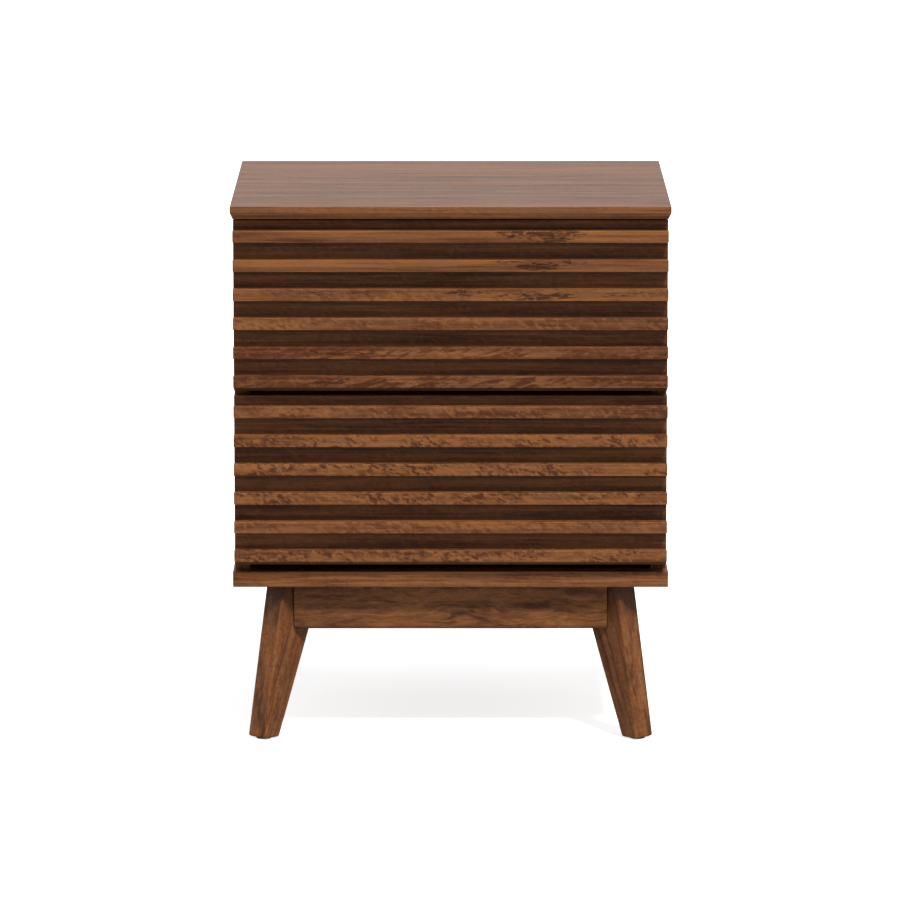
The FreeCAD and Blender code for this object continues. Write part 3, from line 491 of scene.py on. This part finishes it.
def make_pale(name, colour, turn, contrast=0.3, layers=None):
    """Birch or beech. layers is (axis, thickness of a layer): plywood edges show their layers."""
    inside = bpy.context.scene.cabinet_inside
    material, tree, place = start_material(name, turn)
    timber = use(tree, "pale_timber", {"Vector": place, "Colour": rgba(colour), "Contrast": contrast})
    result = timber["Colour"]
    if layers:
        axis, thickness = layers
        raw = add(tree, "ShaderNodeTexCoord").outputs
        stripe = maths(tree, "PINGPONG", split(tree, raw["Object"])[axis], thickness)
        facing = maths(tree, "ABSOLUTE", split(tree, raw["Normal"])[axis])
        dark = ramp(tree, stripe, 0.45 * thickness, 0.55 * thickness)
        shown = times(tree, dark, ramp(tree, facing, 0.6, 0.3))
        result = mix(tree, shown, result, rgba(inside.birch_layer))
    rough = maths(tree, "ADD", timber["Roughness"], 0.55)
    finish_material(tree, result, rough, timber["Height"], 0.12)
    return material


def make_metal(name, gain=1.0, roughness=0.26):
    """Zinc-plated steel, drawn from front to back."""
    inside = bpy.context.scene.cabinet_inside
    material, tree, place = start_material(name, ALONG_Y)
    plate = use(tree, "zinc_plating", {"Vector": place, "Colour": rgba(inside.steel, gain)})
    rough = maths(tree, "ADD", plate["Roughness"], roughness)
    finish_material(tree, plate["Colour"], rough, plate["Height"], 0.06, metallic=1.0)
    return material


def make_plain(name, colour, roughness):
    """Hardboard, rubber or plastic: an even colour with a fine pressed or moulded grain."""
    material, tree, place = start_material(name)
    fine = noise(tree, place, (900, 900, 900), 3.0)
    broad = noise(tree, place, (14, 14, 14), 2.0)
    share = times(tree, maths(tree, "ADD", fine, broad), 0.5)
    tone = mix(tree, ramp(tree, share, 0.35, 0.65), rgba(colour, 1.2), rgba(colour, 0.8))
    rough = maths(tree, "ADD", times(tree, fine, 0.15), roughness)
    finish_material(tree, tone, rough, fine, 0.15)
    return material


def dress(name, material):
    """Gives a CAD node its material."""
    piece = frame["nodes"][name]
    piece.data.materials.clear()
    piece.data.materials.append(material)


# Hardware that repeats.

def islands(node):
    """The separate solids of a CAD node, each as its list of corners."""
    mesh = frame["nodes"][node].data
    keys = [tuple(round(part, 6) for part in vertex.co) for vertex in mesh.vertices]
    owner = {}

    def root(key):
        while owner.setdefault(key, key) != key:
            key = owner[key]
        return key

    for polygon in mesh.polygons:
        first = root(keys[polygon.vertices[0]])
        for index in polygon.vertices[1:]:
            owner[root(keys[index])] = first
    found = {}
    for key in sorted(set(keys)):
        found.setdefault(root(key), []).append(Vector(key))
    return [found[key] for key in sorted(found)]


def find_screws(node):
    """Where each screw of a CAD node sits, which way its head faces, and its sizes."""
    screws = []
    for points in islands(node):
        low = Vector(min(point[i] for point in points) for i in range(3))
        high = Vector(max(point[i] for point in points) for i in range(3))
        axis = max(range(3), key=lambda i: high[i] - low[i])
        middle = (low + high) / 2
        out = [((point - middle) * Vector(float(i != axis) for i in range(3))).length for point in points]
        head_radius = max(out)
        head = [point[axis] for point, reach in zip(points, out) if reach > 0.99 * head_radius]
        shank_radius = max(reach for point, reach in zip(points, out)
                           if point[axis] in (low[axis], high[axis]) and reach < 0.8 * head_radius)
        faces_up = max(head) > middle[axis]
        heading = Vector((0, 0, 0))
        heading[axis] = 1.0 if faces_up else -1.0
        seat = middle.copy()
        seat[axis] = min(head) if faces_up else max(head)
        screws.append({"seat": seat, "heading": heading, "head_radius": head_radius,
                       "head_height": max(head) - min(head), "shank_radius": shank_radius,
                       "length": high[axis] - low[axis] - (max(head) - min(head))})
    return screws


# Geometry nodes for the pieces that repeat.

def new_maker(name, inputs):
    """A geometry node tree with named inputs (name, kind): (tree, group input, group output)."""
    tree = bpy.data.node_groups.new(name, "GeometryNodeTree")
    tree.interface.new_socket("Geometry", in_out="INPUT", socket_type="NodeSocketGeometry")
    for label, kind in inputs:
        tree.interface.new_socket(label, in_out="INPUT", socket_type=kind)
    tree.interface.new_socket("Geometry", in_out="OUTPUT", socket_type="NodeSocketGeometry")
    return tree, add(tree, "NodeGroupInput"), add(tree, "NodeGroupOutput")


def finish_maker(tree, given, result, instances):
    """Ends a tree: the instances become real and take the material that was given."""
    real = add(tree, "GeometryNodeRealizeInstances", {0: instances})
    painted = add(tree, "GeometryNodeSetMaterial", {"Geometry": real.outputs[0],
                                                    "Material": given.outputs["Material"]})
    tree.links.new(painted.outputs[0], result.inputs["Geometry"])
    return tree


def build_slat_maker():
    """Slats one under another: bars with rounded long edges and slightly tapered ends."""
    sizes = ("Length", "Depth", "Height", "Edge Radius", "Pitch")
    tree, given, result = new_maker(
        "slat_maker",
        [(name, "NodeSocketFloat") for name in sizes]
        + [("Count", "NodeSocketInt"), ("Top Slat", "NodeSocketVector"),
           ("Material", "NodeSocketMaterial")])
    size = given.outputs
    half = times(tree, size["Length"], 0.5)
    line = add(tree, "GeometryNodeCurvePrimitiveLine", {"Start": xyz(tree, times(tree, half, -1.0)),
                                                        "End": xyz(tree, half)})
    dense = add(tree, "GeometryNodeResampleCurve", {"Curve": line.outputs[0], "Count": 4})
    index = add(tree, "GeometryNodeInputIndex").outputs[0]
    from_middle = maths(tree, "SUBTRACT", index, 1.5)
    inner = maths(tree, "LESS_THAN", maths(tree, "ABSOLUTE", from_middle), 1.0)
    reach = maths(tree, "SUBTRACT", half, times(tree, inner, size["Edge Radius"]))
    spot = xyz(tree, times(tree, maths(tree, "SIGN", from_middle), reach))
    path = add(tree, "GeometryNodeSetPosition", {"Geometry": dense.outputs[0], "Position": spot})
    shrink = maths(tree, "DIVIDE", times(tree, size["Edge Radius"], -1.2), size["Height"])
    swell = maths(tree, "ADD", 1.0, times(tree, shrink, maths(tree, "SUBTRACT", 1.0, inner)))
    section = add(tree, "GeometryNodeCurvePrimitiveQuadrilateral", {"Width": size["Depth"],
                                                                    "Height": size["Height"]})
    eased = add(tree, "GeometryNodeFilletCurve",
                {"Curve": section.outputs[0], "Radius": size["Edge Radius"], "Count": 4}, mode="POLY")
    bar = add(tree, "GeometryNodeCurveToMesh", {"Curve": path.outputs[0], "Profile Curve": eased.outputs[0],
                                                "Scale": swell, "Fill Caps": True})
    drop = xyz(tree, z=times(tree, size["Pitch"], -1.0))
    column = add(tree, "GeometryNodeMeshLine", {"Count": size["Count"], "Offset": drop,
                                                "Start Location": size["Top Slat"]})
    slats = add(tree, "GeometryNodeInstanceOnPoints", {"Points": column.outputs[0],
                                                       "Instance": bar.outputs[0]})
    number = add(tree, "GeometryNodeInputIndex").outputs[0]
    counted = add(tree, "GeometryNodeStoreNamedAttribute",
                  {"Geometry": slats.outputs[0], "Name": "slat_number", "Value": number}, domain="INSTANCE")
    return finish_maker(tree, given, result, counted.outputs[0])


THREAD_RIDGES = 24
THREAD_DEPTH = 0.22
TIP_SHARE = 0.22
TIP_WIDTH = 0.04
RECESS_LIFT = 0.85


def build_screw_maker():
    """Screws, one on each point, each turned by chance about its own axis.

    Fault: the cut for the recess loses the pan head, and leaves a cross as wide as the recess.
    """
    sizes = ("Head Radius", "Head Height", "Shank Radius", "Length", "Recess", "Slot", "Dome")
    tree, given, result = new_maker(
        "screw_maker", [(name, "NodeSocketFloat") for name in sizes]
        + [("Seed", "NodeSocketInt"), ("Material", "NodeSocketMaterial")])
    size = given.outputs
    x, y, z = split(tree, add(tree, "GeometryNodeInputPosition").outputs[0])
    blank = add(tree, "GeometryNodeMeshCylinder", {"Vertices": 28, "Side Segments": 5, "Fill Segments": 3,
                                                   "Radius": size["Head Radius"],
                                                   "Depth": size["Head Height"]})
    up = maths(tree, "ADD", maths(tree, "DIVIDE", z, size["Head Height"]), 0.5)
    keep = maths(tree, "SUBTRACT", 1.0, times(tree, maths(tree, "POWER", up, 3.0), size["Dome"]))
    seated = maths(tree, "ADD", z, times(tree, size["Head Height"], 0.5))
    domed = add(tree, "GeometryNodeSetPosition", {
        "Geometry": blank.outputs[0],
        "Position": xyz(tree, times(tree, x, keep), times(tree, y, keep), seated)})
    width = times(tree, size["Head Radius"], 2.0)
    arm = times(tree, size["Recess"], width)
    slot = times(tree, size["Slot"], width)
    lift = xyz(tree, z=times(tree, size["Head Height"], RECESS_LIFT))
    head = add(tree, "GeometryNodeMeshBoolean", {"Mesh 1": domed.outputs[0]}, operation="DIFFERENCE")
    for wide, narrow in ((arm, slot), (slot, arm)):
        cube = add(tree, "GeometryNodeMeshCube", {"Size": xyz(tree, wide, narrow, size["Head Height"])})
        cutter = add(tree, "GeometryNodeTransform", {"Geometry": cube.outputs[0], "Translation": lift})
        tree.links.new(cutter.outputs[0], head.inputs["Mesh 2"])
    shank = add(tree, "GeometryNodeMeshCylinder", {"Vertices": 16, "Side Segments": THREAD_RIDGES,
                                                   "Radius": size["Shank Radius"],
                                                   "Depth": size["Length"]})
    along = maths(tree, "DIVIDE", z, size["Length"])
    taper = add(tree, "ShaderNodeMapRange", {0: along, 1: -0.5, 2: TIP_SHARE - 0.5, 3: TIP_WIDTH, 4: 1.0},
                clamp=True).outputs[0]
    wave = maths(tree, "SINE", times(tree, along, THREAD_RIDGES * math.pi))
    thread = times(tree, maths(tree, "ABSOLUTE", wave), THREAD_DEPTH)
    girth = times(tree, taper, maths(tree, "SUBTRACT", 1.0, thread))
    sunk = maths(tree, "SUBTRACT", z, times(tree, size["Length"], 0.5))
    pointed = add(tree, "GeometryNodeSetPosition", {
        "Geometry": shank.outputs[0],
        "Position": xyz(tree, times(tree, x, girth), times(tree, y, girth), sunk)})
    screw = add(tree, "GeometryNodeJoinGeometry")
    for half in (head, pointed):
        tree.links.new(half.outputs[0], screw.inputs[0])
    facing = add(tree, "GeometryNodeInputNamedAttribute", {"Name": "heading"}, data_type="FLOAT_VECTOR")
    aligned = add(tree, "FunctionNodeAlignRotationToVector", {"Vector": facing.outputs[0]}, axis="Z")
    chance = add(tree, "FunctionNodeRandomValue", {"Seed": size["Seed"]}, data_type="FLOAT")
    turn = add(tree, "FunctionNodeAxisAngleToRotation",
               {"Axis": (0, 0, 1), "Angle": times(tree, chance.outputs[1], math.pi)})
    spun = add(tree, "FunctionNodeRotateRotation",
               {"Rotation": aligned.outputs[0], "Rotate By": turn.outputs[0]}, rotation_space="LOCAL")
    screws = add(tree, "GeometryNodeInstanceOnPoints", {"Points": size["Geometry"],
                                                        "Instance": screw.outputs[0],
                                                        "Rotation": spun.outputs[0]})
    return finish_maker(tree, given, result, screws.outputs[0])


MAKER_BUILDERS = {"slat_maker": build_slat_maker, "screw_maker": build_screw_maker}


def make_with(maker, name, body, values, points=(), headings=()):
    """Runs a maker and keeps what it makes as a plain mesh that rides on a body."""
    tree = bpy.data.node_groups.get(maker) or MAKER_BUILDERS[maker]()
    seeds = bpy.data.meshes.new(name + "_seeds")
    seeds.from_pydata([tuple(point) for point in points], [], [])
    heading = seeds.attributes.new("heading", "FLOAT_VECTOR", "POINT")
    for i, direction in enumerate(headings):
        heading.data[i].vector = direction
    holder = bpy.data.objects.new(name + "_holder", seeds)
    bpy.context.scene.collection.objects.link(holder)
    modifier = holder.modifiers.new(maker, "NODES")
    modifier.node_group = tree
    sockets = {item.name: item.identifier for item in tree.interface.items_tree if item.in_out == "INPUT"}
    for label, value in values.items():
        modifier[sockets[label]] = value
    return keep_result(holder, name, body)


def keep_result(holder, name, body):
    """Turns a holder's evaluated result into a plain piece with clean normals, and removes the holder."""
    graph = bpy.context.evaluated_depsgraph_get()
    mesh = bpy.data.meshes.new_from_object(holder.evaluated_get(graph))
    bpy.data.objects.remove(holder)
    mesh.name = name
    piece = bpy.data.objects.new(name, mesh)
    bpy.context.scene.collection.objects.link(piece)
    mesh.polygons.foreach_set("use_smooth", [True] * len(mesh.polygons))
    mesh.set_sharp_from_angle(angle=SMOOTH_ANGLE)
    weigh_normals(piece)
    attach(piece, body)
    return piece


def weigh_normals(piece):
    """Makes the large faces shade flat, with the rounding left to the small ones."""
    piece.modifiers.new("weighing", "WEIGHTED_NORMAL").keep_sharp = True
    graph = bpy.context.evaluated_depsgraph_get()
    mesh = bpy.data.meshes.new_from_object(piece.evaluated_get(graph))
    piece.modifiers.clear()
    piece.data = mesh


# The operators, one for each group of like pieces.

class CaseOperator(bpy.types.Operator):
    """Veneers the case's boards"""
    bl_idname = "cabinet.dress_case"
    bl_label = "Case"

    def execute(self, context):
        dress("top_panel", make_walnut("walnut_top", ALONG_X, 3.0, gain=(0.85, 0.86, 0.87), ring=0.5,
                                       stretch=0.6, haze=0.5, mottle=0.25, sway=0.003, streak=1.1,
                                       balance=0.37, growth=0.6))
        dress("bottom_panel", make_walnut("walnut_bottom_board", ALONG_X, 9.0, mottle=0.3, streak=0.8))
        for side, seed in (("left", 14.0), ("right", 21.0)):
            dress(f"side_panel_{side}", make_walnut(f"walnut_side_{side}", ALONG_Z, seed, growth=0.35,
                                                    sway=0.04, ring=0.45, stretch=0.6, streak=0.6,
                                                    balance=0.42))
        inside = context.scene.cabinet_inside
        dress("back_panel", make_plain("back_board_brown", inside.hardboard, 0.6))
        # The middle rail is darkened to near black: painted shade in the gap between the drawers.
        dress("middle_rail", make_walnut("black_stained_rail", ALONG_X, 45.0, gain=(0.12, 0.12, 0.12),
                                         specular=0.05))
        return {"FINISHED"}


class BaseOperator(bpy.types.Operator):
    """Finishes the legs, the aprons, their corner blocks and the glides"""
    bl_idname = "cabinet.dress_base"
    bl_label = "Base"

    def execute(self, context):
        inside = context.scene.cabinet_inside
        leg_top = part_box("leg_front_left")[1].z
        apron_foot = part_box("apron_front")[0].z
        for corner, (sign, toward) in CORNERS.items():
            low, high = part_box(f"leg_{corner}")
            foot = Vector((sign, toward, 0)) * LEG_LEAN
            grain = Vector((0, 0, high.z - low.z)) - foot
            turn = grain_turn(grain, Vector((sign, toward, 0)))
            seed = 31.0 + 5 * sign + 11 * toward
            # Each leg darkens towards its top: painted shade under the case.
            dress(f"leg_{corner}", make_walnut(f"walnut_leg_{corner}", turn, seed, growth=0.5, mottle=0.3,
                                               sway=0.02, flame=0.25, curl=0.3, balance=0.4,
                                               stain=(leg_top, 1.0, 0.0, 0.05)))
        for name, turn, seed in (("front", ALONG_X, 52.0), ("rear", ALONG_X, 57.0), ("left", ALONG_Y, 63.0),
                                 ("right", ALONG_Y, 68.0)):
            # Each apron darkens in a narrow band along its bottom edge.
            dress(f"apron_{name}", make_walnut(f"walnut_apron_{name}", turn, seed, gain=(0.9, 0.92, 0.93),
                                               mottle=0.25, sway=0.04, stretch=3.0, flame=0.3, growth=0.6,
                                               balance=0.42,
                                               stain=(apron_foot, 1.0, 0.0, 0.004)))
        dress("corner_blocks", make_pale("beech_blocks", inside.beech, ALONG_X))
        dress("foot_glides", make_plain("nylon_glides", inside.glide, 0.5))
        return {"FINISHED"}


class FrontOperator(bpy.types.Operator):
    """Finishes the flat panels behind the slats"""
    bl_idname = "cabinet.dress_fronts"
    bl_label = "Front Panels"

    def execute(self, context):
        for drawer in DRAWERS:
            low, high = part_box(f"{drawer}_slat_1")
            middle = (low.z + high.z) / 2
            pitch = low.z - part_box(f"{drawer}_slat_2")[0].z
            # The gain and the dark lines along the slats are painted shade: the panels are darkened in the
            # recesses between the slats.
            material = make_walnut(f"walnut_{drawer}_panel", ALONG_X, PANEL_SEEDS[drawer],
                                   gain=(0.75, 0.73, 0.62), mottle=0.35, balance=0.55,
                                   stain=(middle, pitch, high.z - low.z, 0.006))
            dress(f"{drawer}_front_panel", material)
        return {"FINISHED"}


def upper_knot(slat, x, rise, length, cover):
    """A knot flare on an upper slat: rise is above the middle of the slat's face."""
    low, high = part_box(f"upper_slat_{slat}")
    return (x, low.y, (low.z + high.z) / 2 + rise), (length, 0.02, 0.006), cover


KNOTS = {
    "upper": [upper_knot(1, 0.100, 0.0035, 0.065, 1.0), upper_knot(1, 0.098, -0.003, 0.055, 0.75),
              upper_knot(2, 0.098, 0.0035, 0.060, 0.8), upper_knot(2, 0.096, 0.0, 0.026, 1.2),
              upper_knot(3, 0.094, -0.001, 0.045, 1.0), upper_knot(3, 0.018, 0.003, 0.034, 0.9),
              upper_knot(3, -0.120, 0.003, 0.080, 0.5), upper_knot(3, 0.195, 0.001, 0.050, 0.5),
              upper_knot(5, -0.130, 0.001, 0.060, 0.6), upper_knot(6, -0.120, 0.0, 0.050, 0.7)],
    "lower": [],
}
SLAT_FIGURES = {
    "upper": {"Balance": (0.35, 0.35, 0.24, 0.52, 0.66, 0.72), "Mottle": (0.15, 0.15, 0.50, 0.6, 0.4, 0.4),
              "Flame": (0.0, 0.0, 0.1, 0.2, 0.85, 1.0)},
    "lower": {"Balance": (0.55, 0.35, 0.35, 0.28, 0.3, 0.3), "Mottle": (0.7, 0.9, 1.0, 1.0, 0.6, 1.0),
              "Flame": (0.4, 0.1, 0.1, 0.1, 0.1, 0.3)},
}


class SlatOperator(bpy.types.Operator):
    """Makes each drawer's six slats"""
    bl_idname = "cabinet.make_slats"
    bl_label = "Slats"

    def execute(self, context):
        sizes = context.scene.cabinet_slats
        for drawer in DRAWERS:
            nodes = [f"{drawer}_slat_{i + 1}" for i in range(SLATS)]
            low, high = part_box(nodes[0])
            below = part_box(nodes[1])[0]
            seeds = [SLAT_SEEDS[drawer] + 7.3 * i for i in range(SLATS)]
            by_number = {"Seed": seeds, **SLAT_FIGURES[drawer]}
            material = make_walnut(f"walnut_{drawer}_slats", ALONG_X, growth=0.2, sway=0.0015,
                                   by_number=by_number, knots=KNOTS[drawer])
            values = {"Length": high.x - low.x, "Depth": high.y - low.y, "Height": high.z - low.z,
                      "Edge Radius": sizes.edge_radius, "Pitch": low.z - below.z, "Count": SLATS,
                      "Top Slat": (low + high) / 2, "Material": material}
            slats = make_with("slat_maker", f"{drawer}_slats", f"{drawer}_drawer", values)
            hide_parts(*nodes)
        return {"FINISHED"}


class BoxOperator(bpy.types.Operator):
    """Finishes the drawer boxes"""
    bl_idname = "cabinet.dress_boxes"
    bl_label = "Drawer Boxes"

    def execute(self, context):
        inside = context.scene.cabinet_inside
        lengthwise = make_pale("birch_ply_sides", inside.birch, ALONG_Y, layers=(0, PLY_LAYER))
        crosswise = make_pale("birch_ply_ends", inside.birch, ALONG_X, layers=(1, PLY_LAYER))
        thin = make_pale("birch_bottom", inside.birch, ALONG_X, contrast=0.5, layers=(2, PLY_LAYER))
        for drawer in DRAWERS:
            for name, material in (("left", lengthwise), ("right", lengthwise), ("front", crosswise),
                                   ("rear", crosswise), ("bottom", thin)):
                dress(f"{drawer}_box_{name}", material)
        return {"FINISHED"}


class RunnerOperator(bpy.types.Operator):
    """Plates the drawer runners"""
    bl_idname = "cabinet.dress_runners"
    bl_label = "Runners"

    def execute(self, context):
        rails = make_metal("zinc_rails")
        cages = make_metal("bright_cages", gain=1.1, roughness=0.18)
        for drawer in DRAWERS:
            for side in ("left", "right"):
                dress(f"{drawer}_fixed_rail_{side}", rails)
                dress(f"{drawer}_moving_rail_{side}", rails)
                dress(f"{drawer}_ball_cage_{side}", cages)
        return {"FINISHED"}


class FittingOperator(bpy.types.Operator):
    """Finishes the dowels, the cam fittings and the bumpers"""
    bl_idname = "cabinet.dress_fittings"
    bl_label = "Fittings"

    def execute(self, context):
        inside = context.scene.cabinet_inside
        dress("dowels", make_pale("beech_dowels", inside.beech, ALONG_X, contrast=0.4))
        dress("cam_fittings", make_metal("zinc_cams", gain=0.85, roughness=0.4))
        dress("front_bumpers", make_plain("rubber_bumpers", inside.rubber, 0.7))
        return {"FINISHED"}


class ScrewOperator(bpy.types.Operator):
    """Makes all the screws"""
    bl_idname = "cabinet.make_screws"
    bl_label = "Screws"

    def execute(self, context):
        sizes = context.scene.cabinet_hardware
        steel = make_metal("screw_steel", gain=0.9, roughness=0.3)
        groups = {}
        for node in SCREW_NODES:
            for screw in find_screws(node):
                groups.setdefault((node, round(screw["length"], 4)), []).append(screw)
        for number, ((node, length), screws) in enumerate(sorted(groups.items())):
            first = screws[0]
            values = {"Head Radius": first["head_radius"], "Head Height": first["head_height"],
                      "Shank Radius": first["shank_radius"], "Length": length, "Recess": sizes.recess,
                      "Slot": sizes.recess_slot, "Dome": sizes.dome, "Seed": number, "Material": steel}
            name = f"{node}_{round(length * 1000)}mm"
            piece = make_with("screw_maker", name, NODE_BODY[node], values,
                              [screw["seat"] for screw in screws], [screw["heading"] for screw in screws])
            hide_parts(node)
        return {"FINISHED"}


class StageOperator(bpy.types.Operator):
    """Sets up the floor, the lights and the camera"""
    bl_idname = "cabinet.set_stage"
    bl_label = "Stage"

    def execute(self, context):
        stage = context.scene.cabinet_stage
        make_floor(stage)
        make_lights(stage)
        make_camera(stage)
        context.scene.view_settings.view_transform = "Standard"
        return {"FINISHED"}


def make_floor(stage):
    """A wide pale floor just under the feet. The camera sees through it from below."""
    mesh = bpy.data.meshes.new("floor")
    corners = [(x * FLOOR_REACH, y * FLOOR_REACH, LOW.z - FLOOR_DROP)
               for x, y in ((-1, -1), (1, -1), (1, 1), (-1, 1))]
    mesh.from_pydata(corners, [], [(0, 1, 2, 3)])
    floor = bpy.data.objects.new("floor", mesh)
    bpy.context.scene.collection.objects.link(floor)
    material, tree, place = start_material("pale_floor")
    clouds = noise(tree, place, (0.8, 0.8, 0.8), 2.0)
    tone = mix(tree, times(tree, clouds, 0.1), rgba(stage.floor), rgba(stage.floor, 0.97))
    seen = add(tree, "ShaderNodeLightPath").outputs["Is Camera Ray"]
    dimmed = mix(tree, seen, rgba(stage.floor, 1.0 - stage.floor_dim), tone)
    shader = finish_material(tree, dimmed, 0.6, clouds, 0.0, specular=0.0)
    tree.links.new(mix(tree, seen, (0, 0, 0, 1), rgba((1, 1, 1))), shader.inputs["Emission Color"])
    shader.inputs["Emission Strength"].default_value = stage.floor_glow
    below = add(tree, "ShaderNodeNewGeometry").outputs["Backfacing"]
    tree.links.new(maths(tree, "SUBTRACT", 1.0, times(tree, below, seen)), shader.inputs["Alpha"])
    mesh.materials.append(material)


def make_lights(stage):
    """A soft key light from the upper right in front, an even light, and a rear wall for the lacquer.

    Only glossy rays see the rear wall, so it lights nothing and shows in the lacquer alone.
    """
    world = bpy.data.worlds.new("studio")
    world.use_nodes = True
    bpy.context.scene.world = world
    tree = world.node_tree
    tree.nodes.clear()
    path = add(tree, "ShaderNodeLightPath").outputs
    way = split(tree, add(tree, "ShaderNodeTexCoord").outputs["Generated"])
    behind = times(tree, path["Is Glossy Ray"], ramp(tree, way[1], 0.0, 0.5))
    mirrored = times(tree, behind, stage.shine - stage.ambient)
    seen = times(tree, path["Is Camera Ray"], 1.0 - stage.ambient)
    strength = maths(tree, "ADD", maths(tree, "ADD", mirrored, seen), stage.ambient)
    back = add(tree, "ShaderNodeBackground", {"Color": (1, 1, 1, 1), "Strength": strength})
    out = add(tree, "ShaderNodeOutputWorld")
    tree.links.new(back.outputs[0], out.inputs["Surface"])
    lamp = bpy.data.lights.new("key_light", "SUN")
    lamp.energy = stage.key
    lamp.angle = stage.key_size
    key = bpy.data.objects.new("key_light", lamp)
    level = math.cos(stage.key_height)
    toward = Vector((math.sin(stage.key_side) * level, -math.cos(stage.key_side) * level,
                     math.sin(stage.key_height)))
    key.location = toward * KEY_DISTANCE
    key.rotation_euler = toward.to_track_quat("Z", "Y").to_euler()
    bpy.context.scene.collection.objects.link(key)


def make_camera(stage):
    """The camera, level from side to side, in front and looking slightly down."""
    data = bpy.data.cameras.new("camera")
    data.lens = stage.lens
    data.clip_end = CAMERA_REACH
    camera = bpy.data.objects.new("camera", data)
    camera.location = (stage.aside, SLAT_FACE - stage.distance, HIGH.z + stage.height)
    camera.rotation_euler = (math.pi / 2 - stage.tilt, 0, 0)
    bpy.context.scene.collection.objects.link(camera)
    bpy.context.scene.camera = camera


SETTINGS = {"cabinet_walnut": CabinetWalnut, "cabinet_inside": CabinetInside, "cabinet_slats": CabinetSlats,
            "cabinet_hardware": CabinetHardware, "cabinet_stage": CabinetStage}
OPERATORS = (CaseOperator, BaseOperator, FrontOperator, SlatOperator, BoxOperator, RunnerOperator,
             FittingOperator, ScrewOperator, StageOperator)


class CabinetPanel(bpy.types.Panel):
    """Lists the cabinet's settings and operators"""
    bl_idname = "VIEW3D_PT_cabinet"
    bl_label = "Slatted Bedside Cabinet"
    bl_space_type = "VIEW_3D"
    bl_region_type = "UI"
    bl_category = "Cabinet"

    def draw(self, context):
        for name, group in SETTINGS.items():
            box = self.layout.box()
            for prop in group.__annotations__:
                box.prop(getattr(context.scene, name), prop)
        for operator in OPERATORS:
            self.layout.operator(operator.bl_idname)


def register():
    """Registers the classes and hangs the settings on the scene."""
    for cls in (*SETTINGS.values(), *OPERATORS, CabinetPanel):
        bpy.utils.register_class(cls)
    for name, group in SETTINGS.items():
        setattr(bpy.types.Scene, name, bpy.props.PointerProperty(type=group))


def unregister():
    """Takes the settings and the classes away again."""
    for name in SETTINGS:
        delattr(bpy.types.Scene, name)
    for cls in reversed((*SETTINGS.values(), *OPERATORS, CabinetPanel)):
        bpy.utils.unregister_class(cls)


def run(operator):
    """Calls an operator through bpy.ops, and stops if it doesn't finish."""
    area, name = operator.bl_idname.split(".")
    if getattr(getattr(bpy.ops, area), name)() != {"FINISHED"}:
        raise RuntimeError(f"{operator.bl_label} didn't finish")


def main():
    """Registers the add-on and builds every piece."""
    register()
    for operator in OPERATORS:
        run(operator)


if __name__ == "__main__":
    main()
